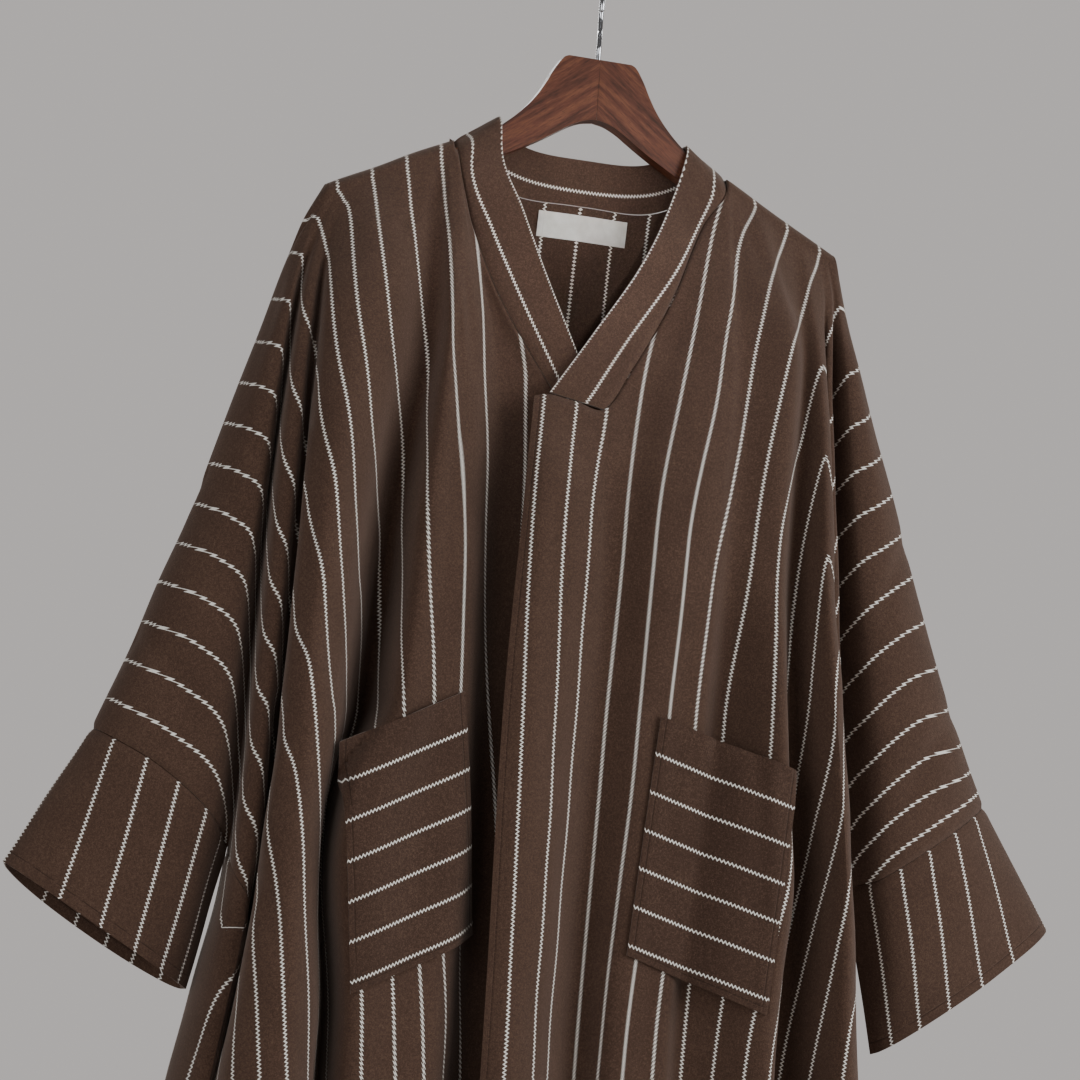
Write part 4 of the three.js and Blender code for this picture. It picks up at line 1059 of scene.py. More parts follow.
@dataclass
class Cuff:
    """A sleeve's cuff, from the sleeve's end ring to its mouth.

    Attributes:
        half: The garment half it is sewn to.
        over: End of its overarm edge as distance out and height.
        under: End of its underarm edge.
        depth: Half depth of the mouth.
        back_drop: How much lower its back edge hangs.
        rows: Rows of cloth from the seam to the mouth.
        near_seam: Share of the way to the mouth that has its own finer rows.
        ease: How much of the mouth's slope is eased at its ends.
        roundness: Power that rounds the mouth's two sides.
        swell: How much the cloth swells between the seam and the mouth.
    """

    half: GarmentSide
    over: tuple[float, float]
    under: tuple[float, float]
    depth: float = 27.0
    back_drop: float = 9.0
    rows: int = 22
    near_seam: float = 0.12
    ease: float = 0.35
    roundness: float = 0.6
    swell: float = 0.1

    def block(self) -> Block:
        """The cuff as a grid of cloth.

        Returns:
            Its grid, from the seam to the mouth.
        """
        half = self.half
        ring = half.upper[-1, half.valley:half.under_back + 1, :3]
        middle = half.over - half.valley
        count = len(ring)
        index = np.arange(count)
        front = index <= middle
        share = np.where(front, 1 - index / middle, (index - middle) / (count - 1 - middle))
        fall = self.ease * (1 - np.cos(share * math.pi)) / 2 + (1 - self.ease) * share
        out = self.over[0] + (self.under[0] - self.over[0]) * fall
        z = self.over[1] + (self.under[1] - self.over[1]) * fall
        bulge = np.maximum(np.sin(share * math.pi), 0)**self.roundness
        bulge[[0, middle, -1]] = 0
        y = np.where(front, -1, 1) * bulge * self.depth
        z = z - np.where(front, 0, self.back_drop * bulge)
        ends = np.stack([half.side.value * out, y, z], axis=1)
        first, rest = np.linspace(0, self.near_seam, 5), np.linspace(self.near_seam, 1, self.rows - 3)
        t = np.concatenate([first, rest[1:]])
        points = ring * (1 - t[:, None, None]) + ends * t[:, None, None]
        points[:, :, 1] *= (1 + self.swell * np.sin(math.pi * t)**2)[:, None]
        way = along_rows(points)
        around = np.concatenate([[0], np.cumsum(np.linalg.norm(np.diff(ring, axis=0), axis=1))])
        stripes = np.broadcast_to((around - around[middle]) / STRIPE_GAP, way.shape)
        gaps = stripe_gaps(points, stripes)
        far = np.full(way.shape, NO_EDGE)
        mouth = way[-1][None, :] - way
        facts = np.stack([stripes, way, gaps, mouth, far, way], axis=2)
        return Block(f"cuff_{half.side.word}", points, facts, half.side.value)


@dataclass
class Neckband:
    """The folded band round the neck, down to the ends of both fronts.

    Attributes:
        right: The garment's right half.
        left: Its left half.
        back_z: Height of its fold edge at the centre back.
        back_y: Depth of its fold edge at the centre back.
        columns: Cloth columns between its seam and its fold edge.
    """

    right: GarmentSide
    left: GarmentSide
    back_z: float = -139.7
    back_y: float = 17.0
    columns: int = 12

    # Rows of way along the band from the shoulder, distance out, height and depth
    right_edge = ((0, 81.5, -118.5, 0), (0.03, 81.2, -120, -6), (0.065, 80.6, -127, -10.5),
                  (0.12, 79, -150, -13), (0.3, 62, -196, -24), (0.48, 47, -235, -31),
                  (0.74, 19, -297, -38), (0.9, -4, -342, -41), (1, -30, -372, -41))
    left_edge = ((0, 81, -118.5, 0), (0.03, 80.7, -120, -6), (0.065, 79.5, -127, -10.5),
                 (0.12, 73, -152, -14), (0.4, 43, -224, -31), (0.72, -3, -297, -43),
                 (1, -36, -347, -51))

    def edge(self, half: GarmentSide, share: np.ndarray) -> np.ndarray:
        """Points of the fold edge down a front.

        Args:
            half: The garment half.
            share: Shares of the way from the shoulder.

        Returns:
            One point for each share.
        """
        rows = np.array(self.right_edge if half is self.right else self.left_edge, float)
        rows[:, 0] *= -1
        out, z, y = slide(rows, -share).T
        return np.stack([half.side.value * out, y, z], axis=1)

    def front(self, half: GarmentSide, first: int) -> tuple[np.ndarray, np.ndarray]:
        """Seam and fold edge down a front, from the shoulder.

        Args:
            half: The garment half.
            first: Its first column that the band covers.

        Returns:
            Points on the seam and points on the fold edge.
        """
        seam = half.upper[0, first:half.neck_front + 1, :3][::-1]
        way = np.concatenate([[0], np.cumsum(np.linalg.norm(np.diff(seam, axis=0), axis=1))])
        return seam, self.edge(half, way / way[-1])

    def back(self, half: GarmentSide) -> tuple[np.ndarray, np.ndarray]:
        """Seam and fold edge from the shoulder to the centre back.

        Args:
            half: The garment half.

        Returns:
            Points on the seam and points on the fold edge.
        """
        seam = half.upper[0, half.neck_back:, :3]
        share = np.abs(seam[:, 0]) / CORNER_OUT
        corner = self.edge(half, np.array([0.0]))[0]
        z = self.back_z + (corner[2] - self.back_z) * share**4
        y = self.back_y * np.sqrt(np.maximum(0, 1 - share**8))
        return seam, np.stack([corner[0] * share, y, z], axis=1)

    def block(self) -> Block:
        """The band's outer face, from the right front's end round the back to the left front's.

        Returns:
            Its grid, a row for each place along it.
        """
        first_left = sum(fold.steps for fold in LEFT_FRONT[:3]) * FINER
        parts = [[part[::-1] for part in self.front(self.right, 0)],
                 [part[1:] for part in self.back(self.right)],
                 [part[::-1][1:] for part in self.back(self.left)],
                 [part[1:] for part in self.front(self.left, first_left)]]
        seam = np.concatenate([part[0] for part in parts])
        edge = np.concatenate([part[1] for part in parts])
        t = np.linspace(0, 1, self.columns + 1)
        points = seam[:, None] * (1 - t[None, :, None]) + edge[:, None] * t[None, :, None]
        way = np.concatenate([[0], np.cumsum(np.linalg.norm(np.diff(seam, axis=0), axis=1))])
        width = np.linalg.norm(edge - seam, axis=1)
        across_way = width[:, None] * (1 - t[None, :])
        stripes = across_way / BAND_STRIPE_GAP
        shape = stripes.shape
        none_near = np.full(shape, NO_EDGE)
        facts = np.stack([stripes, np.broadcast_to(way[:, None], shape), np.full(shape, BAND_STRIPE_GAP),
                          none_near, none_near, width[:, None] * t[None, :]], axis=2)
        return Block("neckband", points, facts, -1)


@dataclass
class Pocket:
    """A patch pocket laid on a front, spanning its valleys and gaping a little at the mouth.

    Attributes:
        half: The garment half it is sewn to.
        in_top: Inner top corner as distance out and height.
        out_top: Outer top corner.
        out_low: Outer bottom corner.
        in_low: Inner bottom corner.
        sag: How deep its cloth sinks into the valley behind it.
        sag_at: Share of its width where that valley lies.
        sag_width: Half of the share of its width that sinks.
        gape: How far its mouth stands off.
        gape_reach: Share of its height that stands off.
        stand_off: How far all of it stands off the front beyond the usual clearance.
        search: How far to each side the front's foremost depth is looked for.
        stitch_dip: How far its sewn edges are drawn down.
        stitch_width: How far from the edge that reaches.
        bare: Least stripe number, so that no stripe lies in the mouth's edge.
        columns: Columns of cloth.
        rows: Rows of cloth.
    """

    half: GarmentSide
    in_top: tuple[float, float]
    out_top: tuple[float, float]
    out_low: tuple[float, float]
    in_low: tuple[float, float]
    sag: float = 0.0
    sag_at: float = 0.36
    sag_width: float = 0.2
    gape: float = 2.4
    gape_reach: float = 0.4
    stand_off: float = 0.9
    search: float = 6.0
    stitch_dip: float = 0.8
    stitch_width: float = 2.5
    bare: float = 0.2
    columns: int = 30
    rows: int = 44

    def place(self, s: float, t: float) -> np.ndarray:
        """Finds a place on the pocket.

        Args:
            s: Share across from its inner edge.
            t: Share down from its mouth.

        Returns:
            Distance out and height.
        """
        top = np.array(self.in_top) * (1 - s) + np.array(self.out_top) * s
        low = np.array(self.in_low) * (1 - s) + np.array(self.out_low) * s
        return top * (1 - t) + low * t

    def body_depth(self, s: float, t: float) -> float:
        """Foremost depth of the front under the pocket, looked for a little to each side."""
        out, z = self.place(s, t)
        return min(self.half.front_depth(out + dx, z) for dx in (-self.search, 0, self.search))

    def shell(self) -> Shell:
        """The pocket as a closed wall, its sewn edges drawn down to the front.

        Returns:
            The pocket's wall.
        """
        lift = CLOTH + CLEAR + self.stand_off
        points = np.zeros((self.rows + 1, self.columns + 1, 3))
        for r in range(self.rows + 1):
            t = r / self.rows
            inner, outer = self.body_depth(0, t), self.body_depth(1, t)
            for c in range(self.columns + 1):
                s = c / self.columns
                out, z = self.place(s, t)
                sunk = self.sag * math.exp(-(((s - self.sag_at) / self.sag_width)**2))
                bridge = inner + (outer - inner) * s + sunk
                gape = self.gape * math.sin(math.pi * s) * max(0.0, 1 - t / self.gape_reach)**2
                depth = min(self.body_depth(s, t), bridge) - lift - gape
                points[r, c] = (self.half.side.value * out, depth, z)
        width = np.linalg.norm(points[:, -1] - points[:, 0], axis=1)[:, None]
        height = np.linalg.norm(points[-1] - points[0], axis=1)[None, :]
        s, t = np.linspace(0, 1, self.columns + 1)[None, :], np.linspace(0, 1, self.rows + 1)[:, None]
        sewn = np.minimum(np.minimum(s, 1 - s) * width, (1 - t) * height)
        points[:, :, 1] += self.stitch_dip * np.exp(-(sewn / self.stitch_width)**2)
        down = t * height
        stripes = np.maximum(down / STRIPE_GAP, self.bare)
        way = s * width
        gaps = np.full(stripes.shape, STRIPE_GAP)
        facts = np.stack([stripes, way, gaps, sewn, down, np.full(stripes.shape, NO_SEAM)], axis=2)
        block = Block("pocket", points, facts, self.half.side.value)
        surface = ClothSurface([block], seam_dip=0.0)
        return surface.wall("pocket", CLOTH)


@dataclass
class Label:
    """The bare woven label inside the back, just under the band.

    Attributes:
        right: The garment's right half.
        left: Its left half.
        from_x: Its right end.
        to_x: Its left end.
        top: Height of its upper edge.
        low: Height of its lower edge.
        thick: Its thickness.
    """

    right: GarmentSide
    left: GarmentSide
    from_x: float = -35.0
    to_x: float = 42.0
    top: float = -185.0
    low: float = -206.0
    thick: float = 0.7

    def back_depth(self, x: float, z: float) -> float:
        """Depth of the back panel's outer face.

        Args:
            x: Place from the centre.
            z: Height.

        Returns:
            Depth in millimetres.
        """
        half = self.right if x < 0 else self.left
        grid = half.upper[:, half.neck_back:, :3]
        line = []
        for column in range(grid.shape[1]):
            heights = grid[:, column, 2]
            r = int(np.clip(np.searchsorted(-heights, -z) - 1, 0, len(heights) - 2))
            a, b = grid[r, column], grid[r + 1, column]
            line.append(a + (b - a) * (a[2] - z) / (a[2] - b[2]))
        line = np.array(line)
        order = np.argsort(np.abs(line[:, 0]))
        return float(np.interp(abs(x), np.abs(line[order, 0]), line[order, 1]))

    def shell(self, push: Unevenness) -> Shell:
        """The label as a closed wall that follows the cloth behind it.

        Args:
            push: The slow waves of the cloth behind it.

        Returns:
            The label's wall.
        """
        xs, zs = np.linspace(self.from_x, self.to_x, 41), np.linspace(self.low, self.top, 12)
        points = np.array([[(x, self.back_depth(x, z) - CLOTH - CLEAR, z) for x in xs] for z in zs])
        wave = push.push(points.reshape(-1, 3)).reshape(points.shape[:2])
        points[:, :, 1] += np.minimum(wave, 0)
        shape = points.shape[:2]
        ends = np.broadcast_to(np.minimum(xs - self.from_x, self.to_x - xs)[None, :], shape)
        rims = np.broadcast_to(np.minimum(zs - self.low, self.top - zs)[:, None], shape)
        facts = np.stack([np.broadcast_to(xs[None, :] - self.from_x, shape),
                          np.broadcast_to(zs[:, None] - self.low, shape),
                          np.full(shape, STRIPE_GAP), ends, rims, np.full(shape, NO_SEAM)], axis=2)
        surface = ClothSurface([Block("label", points, facts, 1)], seam_dip=0.0)
        return surface.wall("label", self.thick)


@dataclass
class Hanger:
    """The wooden hanger in two arms that meet at the middle.

    Attributes:
        thick: Thickness from front to back.
        edge: Radius of its long edges.
        joint: Half of the gap between the arms.
        top: Upper outline from the middle to the tip, as distance out and height.
        tip: Outline round the tip.
        low: Lower outline back to the middle.
        apex: Height of the underside at the middle.
    """

    thick: float = 13.0
    edge: float = 3.8
    joint: float = 0.15
    top: tuple[tuple[float, float], ...] = (
        (27, -60), (31, -62), (39, -74), (44, -84), (51, -96), (59, -106.5), (69, -117), (78, -125),
        (90, -136), (117.5, -152), (160, -172.5), (205, -194.5))
    tip: tuple[tuple[float, float], ...] = ((210, -197), (212, -202), (210, -208), (204, -212))
    low: tuple[tuple[float, float], ...] = (
        (160, -192), (117, -170.5), (72, -148), (46, -133.5), (31, -124), (21, -117.5), (10, -112.5))
    apex: float = -110.7

    def outline(self) -> np.ndarray:
        """The arm's outline with a smooth run between its points.

        Returns:
            Rows of distance out and height.
        """
        run = np.array([*self.top, *self.tip, *self.low, (self.joint, self.apex)], float)
        flat = np.column_stack([run[:, 0], np.zeros(len(run)), run[:, 1], np.zeros(len(run))])
        smooth = across(flat[None, :], [4] * (len(run) - 1))[0][:, [0, 2]]
        return np.concatenate([[(self.joint, HANGER_TOP)], smooth])

    def arm(self, side: Side) -> bpy.types.Object:
        """Models one arm: a face drawn out to its thickness, its long edges rounded.

        Args:
            side: The side the arm points to.

        Returns:
            The arm's object.
        """
        outline = self.outline()
        bpy.ops.object.select_all(action="DESELECT")
        bpy.ops.mesh.primitive_circle_add(vertices=len(outline), radius=1, fill_type="NGON")
        arm = bpy.context.object
        arm.name = f"hanger_arm_{side.word}"
        for vertex, (out, z) in zip(arm.data.vertices, outline):
            vertex.co = (side.value * out * MM, -self.thick / 2 * MM, z * MM)
        bpy.ops.object.mode_set(mode="EDIT")
        bpy.ops.mesh.select_all(action="SELECT")
        bpy.ops.mesh.extrude_region_move(TRANSFORM_OT_translate={"value": (0, self.thick * MM, 0)})
        bpy.ops.mesh.select_all(action="SELECT")
        bpy.ops.mesh.normals_make_consistent(inside=False)
        bpy.ops.mesh.select_all(action="DESELECT")
        mesh = bmesh.from_edit_mesh(arm.data)
        at_joint = (self.joint + 0.01) * MM
        for edge in mesh.edges:
            a, b = (vertex.co for vertex in edge.verts)
            lies_on_face = abs(a.y - b.y) < 1e-6
            edge.select = lies_on_face and max(abs(a.x), abs(b.x)) > at_joint
        bmesh.update_edit_mesh(arm.data)
        bpy.ops.mesh.bevel(offset=self.edge * MM, segments=5, affect="EDGES", clamp_overlap=True)
        bpy.ops.object.mode_set(mode="OBJECT")
        bpy.ops.object.shade_smooth_by_angle(angle=math.radians(40))
        return arm


@dataclass
class Hook:
    """The round wire hook that the hanger hangs by.

    Attributes:
        wire: Radius of the wire.
        bend: Radius of its bend.
        turn: Degrees that its plane is turned from the garment's middle.
        rise: Length of its straight stem.
        tip: Degrees to its tip.
    """

    wire: float = 2.0
    bend: float = 19.0
    turn: float = -17.0
    rise: float = 14.0
    tip: float = 200.0

    def piece(self) -> bpy.types.Object:
        """Models the wire along its path and rounds its tip.

        Returns:
            The hook's object.
        """
        centre = self.wire - self.bend
        path = [(0, HANGER_TOP + SEAM_GAP), (0, HANGER_TOP + self.rise * 0.5), (0, HANGER_TOP + self.rise)]
        for angle in np.arange(-60, self.tip + 1, 10):
            path.append((self.bend * math.cos(math.radians(angle)),
                         centre + self.bend * math.sin(math.radians(angle))))
        line = np.array([(0, y, z, 0) for y, z in path], float)
        smooth = across(line[None, :], [4] * (len(line) - 1))[0]
        data = bpy.data.curves.new("hook_wire", "CURVE")
        data.dimensions = "3D"
        spline = data.splines.new("POLY")
        spline.points.add(len(smooth) - 1)
        turn = Matrix.Rotation(math.radians(self.turn), 3, "Z")
        for point, (x, y, z, _) in zip(spline.points, smooth):
            point.co = (*(turn @ Vector((x, y, z)) * MM), 1)
        last = len(smooth) - 1
        for back, share in ((0, 0.35), (1, 0.8)):
            spline.points[last - back].radius = share
        data.bevel_depth = self.wire * MM
        data.bevel_resolution = 6
        data.use_fill_caps = True
        wire = bpy.data.objects.new("hook_wire", data)
        bpy.context.scene.collection.objects.link(wire)
        select_only(wire)
        bpy.ops.object.convert(target="MESH")
        wire = bpy.context.object
        bpy.ops.object.mode_set(mode="EDIT")
        bpy.ops.mesh.select_all(action="SELECT")
        bpy.ops.mesh.normals_make_consistent(inside=False)
        bpy.ops.object.mode_set(mode="OBJECT")
        bpy.ops.object.shade_smooth_by_angle(angle=math.radians(50))
        return wire


class Tree:
    """Short hand for one material's nodes, all values on their own sockets."""

    def __init__(self, name: str, roughness: float, **shader: float | tuple[float, ...]) -> None:
        """Makes a material with one Principled shader.

        Args:
            name: The material's name.
            roughness: The shader's roughness.
            shader: More of its sockets by name, with an underscore for a space.
        """
        self.material = bpy.data.materials.new(name)
        self.material.use_nodes = True
        self.nodes, self.links = self.material.node_tree.nodes, self.material.node_tree.links
        self.shader = next(node for node in self.nodes if node.type == "BSDF_PRINCIPLED")
        self.shader.inputs["Roughness"].default_value = roughness
        for word, value in shader.items():
            self.shader.inputs[word.replace("_", " ")].default_value = value

    def put(self, socket: bpy.types.NodeSocket, value: object) -> None:
        """Links a socket, or sets its value.

        Args:
            socket: Where it goes.
            value: An output or a constant.
        """
        if isinstance(value, bpy.types.NodeSocket):
            self.links.new(value, socket)
        elif value is not None:
            socket.default_value = value

    def math(self, operation: str, a: object, b: object = None, clamp: bool = False) -> bpy.types.NodeSocket:
        """One Math node.

        Args:
            operation: What it works out.
            a: Its first number.
            b: Its second number.
            clamp: True to keep the result from nought to one.

        Returns:
            The result.
        """
        node = self.nodes.new("ShaderNodeMath")
        node.operation, node.use_clamp = operation, clamp
        self.put(node.inputs[0], a)
        self.put(node.inputs[1], b)
        return node.outputs[0]

    def step(self, value: object, low: float, high: float) -> bpy.types.NodeSocket:
        """A smooth step.

        Args:
            value: The number it follows.
            low: Where it is nought.
            high: Where it is one.

        Returns:
            The step.
        """
        node = self.nodes.new("ShaderNodeMapRange")
        node.interpolation_type = "SMOOTHSTEP"
        self.put(node.inputs["Value"], value)
        node.inputs["From Min"].default_value, node.inputs["From Max"].default_value = low, high
        return node.outputs["Result"]

    def attribute(self, name: str) -> tuple[bpy.types.NodeSocket, ...]:
        """The three numbers of a vector attribute.

        Args:
            name: The attribute's name.

        Returns:
            One output for each number.
        """
        node = self.nodes.new("ShaderNodeAttribute")
        node.attribute_name = name
        parts = self.nodes.new("ShaderNodeSeparateXYZ")
        self.links.new(node.outputs["Vector"], parts.inputs[0])
        return tuple(parts.outputs)

    def place(self) -> bpy.types.NodeSocket:
        """The point on the object, in metres."""
        return self.nodes.new("ShaderNodeTexCoord").outputs["Object"]

    def vector(self, x: object, y: object, z: object) -> bpy.types.NodeSocket:
        """A vector from three numbers.

        Args:
            x: The first.
            y: The second.
            z: The third.

        Returns:
            The vector.
        """
        node = self.nodes.new("ShaderNodeCombineXYZ")
        for socket, value in zip(node.inputs, (x, y, z)):
            self.put(socket, value)
        return node.outputs[0]

    def noise(self, vector: bpy.types.NodeSocket, scale: float, detail: float = 3.0,
              rough: float = 0.55) -> bpy.types.NodeSocket:
        """Soft noise from nought to one.

        Args:
            vector: Where it is read.
            scale: Its fineness, for each metre.
            detail: Its finer layers.
            rough: How strong those are.

        Returns:
            The noise.
        """
        node = self.nodes.new("ShaderNodeTexNoise")
        self.links.new(vector, node.inputs["Vector"])
        node.inputs["Scale"].default_value = scale
        node.inputs["Detail"].default_value = detail
        node.inputs["Roughness"].default_value = rough
        return node.outputs["Fac"]

    def ramp(self, value: bpy.types.NodeSocket,
             stops: Iterable[tuple[float, tuple[float, ...]]]) -> bpy.types.NodeSocket:
        """Colours along a number.

        Args:
            value: The number.
            stops: Its values with their colours.

        Returns:
            The colour.
        """
        node = self.nodes.new("ShaderNodeValToRGB")
        self.links.new(value, node.inputs[0])
        elements = node.color_ramp.elements
        stops = list(stops)
        for element, (at, colour) in zip(elements, (stops[0], stops[-1])):
            element.position, element.color = at, (*colour, 1)
        for at, colour in stops[1:-1]:
            elements.new(at).color = (*colour, 1)
        return node.outputs["Color"]

    def mix(self, share: object, a: object, b: object, blend: str = "MIX") -> bpy.types.NodeSocket:
        """One colour over another.

        Args:
            share: How much of the second shows.
            a: The first colour.
            b: The second colour.
            blend: The way they mix.

        Returns:
            The colour.
        """
        node = self.nodes.new("ShaderNodeMix")
        node.data_type, node.blend_type = "RGBA", blend
        self.put(node.inputs[0], share)
        for socket, value in ((node.inputs[6], a), (node.inputs[7], b)):
            self.put(socket, (*value, 1) if isinstance(value, tuple) else value)
        return node.outputs[2]

    def finish(self, colour: bpy.types.NodeSocket, height: bpy.types.NodeSocket | None = None,
               strength: float = 0.5, distance: float = 0.0005) -> bpy.types.Material:
        """Links colour and bump to the shader.

        Args:
            colour: The base colour.
            height: Height of the surface for the bump.
            strength: Strength of the bump.
            distance: Height in metres of one unit.

        Returns:
            The material.
        """
        self.links.new(colour, self.shader.inputs["Base Color"])
        if height is not None:
            bump = self.nodes.new("ShaderNodeBump")
            bump.inputs["Strength"].default_value = strength
            bump.inputs["Distance"].default_value = distance
            self.links.new(height, bump.inputs["Height"])
            self.links.new(bump.outputs["Normal"], self.shader.inputs["Normal"])
        return self.material


def linear(red: float, green: float, blue: float) -> tuple[float, float, float]:
    """Linear colour from display values of 0 to 255.

    Args:
        red: Its red.
        green: Its green.
        blue: Its blue.

    Returns:
        The colour's three linear values.
    """
    def channel(value: float) -> float:
        """One channel."""
        share = value / 255
        return share / 12.92 if share <= 0.04045 else ((share + 0.055) / 1.055)**2.4
    return channel(red), channel(green), channel(blue)


@dataclass(frozen=True)
class StripedCloth:
    """Brushed brown cloth with a zigzag stitch of cream thread every 30 mm.

    Attributes:
        name: The material's name.
        dark: Darkest fibres.
        middle: Most of the cloth.
        light: Lightest fibres.
        thread: The cream thread.
        thread_half: Half the width of the thread, in millimetres.
        ragged: How far its edges stray.
        swing: How far the stitch swings to each side.
        pitch: Distance from one tooth to the next on the same side.
        stitched: Distance of the edge stitch from the sewn edge, or nought for none.
        hem: Distance of the hem stitch from the hem, or nought for none.
    """

    name: str
    dark: tuple[float, float, float] = linear(52, 37, 30)
    middle: tuple[float, float, float] = linear(78, 58, 48)
    light: tuple[float, float, float] = linear(112, 88, 74)
    thread: tuple[float, float, float] = linear(255, 251, 243)
    thread_half: float = 0.76
    ragged: float = 0.35
    swing: float = 1.08
    pitch: float = 3.1
    stitched: float = 5.0
    hem: float = 0.0

    def material(self) -> bpy.types.Material:
        """Builds the material.

        Returns:
            The material.
        """
        tree = Tree(self.name, 0.94, Sheen_Weight=0.35, Sheen_Roughness=0.5,
                    Sheen_Tint=(0.9, 0.78, 0.7, 1), Specular_IOR_Level=0.12)
        place = tree.place()
        number, way, gap = tree.attribute("stripes")
        edge, hem, run = tree.attribute("sewn")
        flecks = tree.noise(place, 1150, 5, 0.7)
        tufts = tree.noise(place, 520, 4, 0.6)
        clouds = tree.noise(place, 22, 3)
        grain = tree.math("ADD", tree.math("MULTIPLY", flecks, 0.6), tree.math("MULTIPLY", tufts, 0.3))
        grain = tree.math("ADD", grain, tree.math("MULTIPLY", clouds, 0.1))
        cloth = tree.ramp(grain, ((0.3, self.dark), (0.5, self.middle), (0.72, self.light)))
        whole = tree.math("ROUND", number)
        off = tree.math("MULTIPLY", tree.math("SUBTRACT", number, whole), gap)
        ragged = tree.math("MULTIPLY", tree.math("SUBTRACT", flecks, 0.5), self.ragged)
        wave = tree.math("MULTIPLY", tree.math("PINGPONG", way, self.pitch / 2), 4 * self.swing / self.pitch)
        off = tree.math("ABSOLUTE", tree.math("SUBTRACT", tree.math("ADD", off, self.swing), wave))
        reach = tree.math("ADD", ragged, self.thread_half)
        thread = tree.step(tree.math("SUBTRACT", reach, off), -0.12, 0.12)
        shade = tree.ramp(flecks, ((0.25, tuple(c * 0.8 for c in self.thread)), (0.65, self.thread)))
        colour = tree.mix(thread, cloth, shade)
        height = tree.math("ADD", tree.math("MULTIPLY", grain, 0.9), tree.math("MULTIPLY", thread, 0.5))
        for distance, far in ((self.stitched, edge), (self.hem, hem)):
            if distance:
                line = tree.math("ABSOLUTE", tree.math("SUBTRACT", far, distance))
                groove = tree.step(line, 1.3, 0.2)
                dash = tree.step(tree.math("PINGPONG", run, 1.7), 0.25, 0.45)
                sewn = tree.math("MULTIPLY", tree.step(line, 0.5, 0.3), dash)
                colour = tree.mix(tree.math("MULTIPLY", sewn, 0.75), colour, self.dark)
                height = tree.math("SUBTRACT", height, tree.math("MULTIPLY", groove, 0.8))
        return tree.finish(colour, height, 0.55, 0.0006)


@dataclass(frozen=True)
class WovenLabel:
    """Bare cream satin label with its ends turned under and sewn."""

    name: str = "label_satin"
    cream: tuple[float, float, float] = linear(248, 245, 238)
    shade: tuple[float, float, float] = linear(226, 221, 211)

    def material(self) -> bpy.types.Material:
        """Builds the material.

        Returns:
            The material.
        """
        tree = Tree(self.name, 0.55, Sheen_Weight=0.2, Specular_IOR_Level=0.35)
        over, up, _ = tree.attribute("stripes")
        ends, _, _ = tree.attribute("sewn")
        warp = tree.math("PINGPONG", over, 0.35)
        weft = tree.math("PINGPONG", up, 0.25)
        weave = tree.math("ADD", tree.math("MULTIPLY", warp, 1.2), tree.math("MULTIPLY", weft, 1.2))
        clouds = tree.noise(tree.place(), 90, 3)
        tone = tree.math("ADD", tree.math("MULTIPLY", clouds, 0.7), tree.math("MULTIPLY", weave, 0.35))
        colour = tree.ramp(tone, ((0.3, self.shade), (0.62, self.cream)))
        fold = tree.math("ABSOLUTE", tree.math("SUBTRACT", ends, 4.5))
        seam = tree.step(fold, 0.7, 0.15)
        colour = tree.mix(tree.math("MULTIPLY", seam, 0.45), colour, self.shade)
        height = tree.math("SUBTRACT", weave, tree.math("MULTIPLY", seam, 0.9))
        return tree.finish(colour, height, 0.4, 0.0003)


@dataclass(frozen=True)
class OiledWalnut:
    """Reddish walnut whose grain runs down each arm and meets in a chevron at the middle."""

    name: str = "hanger_walnut"
    dark: tuple[float, float, float] = linear(54, 28, 18)
    middle: tuple[float, float, float] = linear(96, 54, 37)
    light: tuple[float, float, float] = linear(130, 82, 58)
    slope: float = 36.0

    def material(self) -> bpy.types.Material:
        """Builds the material.

        Returns:
            The material.
        """
        tree = Tree(self.name, 0.4, Specular_IOR_Level=0.28)
        parts = tree.nodes.new("ShaderNodeSeparateXYZ")
        tree.links.new(tree.place(), parts.inputs[0])
        mirrored = tree.vector(tree.math("ABSOLUTE", parts.outputs[0]), parts.outputs[1], parts.outputs[2])
        turn = tree.nodes.new("ShaderNodeMapping")
        turn.inputs["Rotation"].default_value = (0, math.radians(-self.slope), 0)
        tree.links.new(mirrored, turn.inputs["Vector"])
        squeeze = tree.nodes.new("ShaderNodeMapping")
        squeeze.inputs["Scale"].default_value = (0.09, 0.6, 1)
        tree.links.new(turn.outputs[0], squeeze.inputs["Vector"])
        grain_way = squeeze.outputs[0]
        broad = tree.noise(grain_way, 210, 4, 0.6)
        fine = tree.noise(grain_way, 1500, 3, 0.7)
        tone = tree.math("ADD", tree.math("MULTIPLY", broad, 0.7), tree.math("MULTIPLY", fine, 0.35))
        colour = tree.ramp(tone, ((0.36, self.dark), (0.52, self.middle), (0.7, self.light)))
        pores = tree.step(fine, 0.42, 0.3)
        colour = tree.mix(tree.math("MULTIPLY", pores, 0.6), colour, self.dark)
        return tree.finish(colour, tree.math("SUBTRACT", fine, pores), 0.15, 0.0002)


@dataclass(frozen=True)
class PolishedWire:
    """Polished steel wire with faint drawing marks."""

    name: str = "hook_steel"
    bright: tuple[float, float, float] = linear(214, 216, 220)
    dull: tuple[float, float, float] = linear(186, 188, 194)

    def material(self) -> bpy.types.Material:
        """Builds the material.

        Returns:
            The material.
        """
        tree = Tree(self.name, 0.17, Metallic=1.0)
        marks = tree.noise(tree.place(), 700, 4, 0.7)
        colour = tree.ramp(marks, ((0.35, self.dull), (0.65, self.bright)))
        return tree.finish(colour, marks, 0.05, 0.0001)


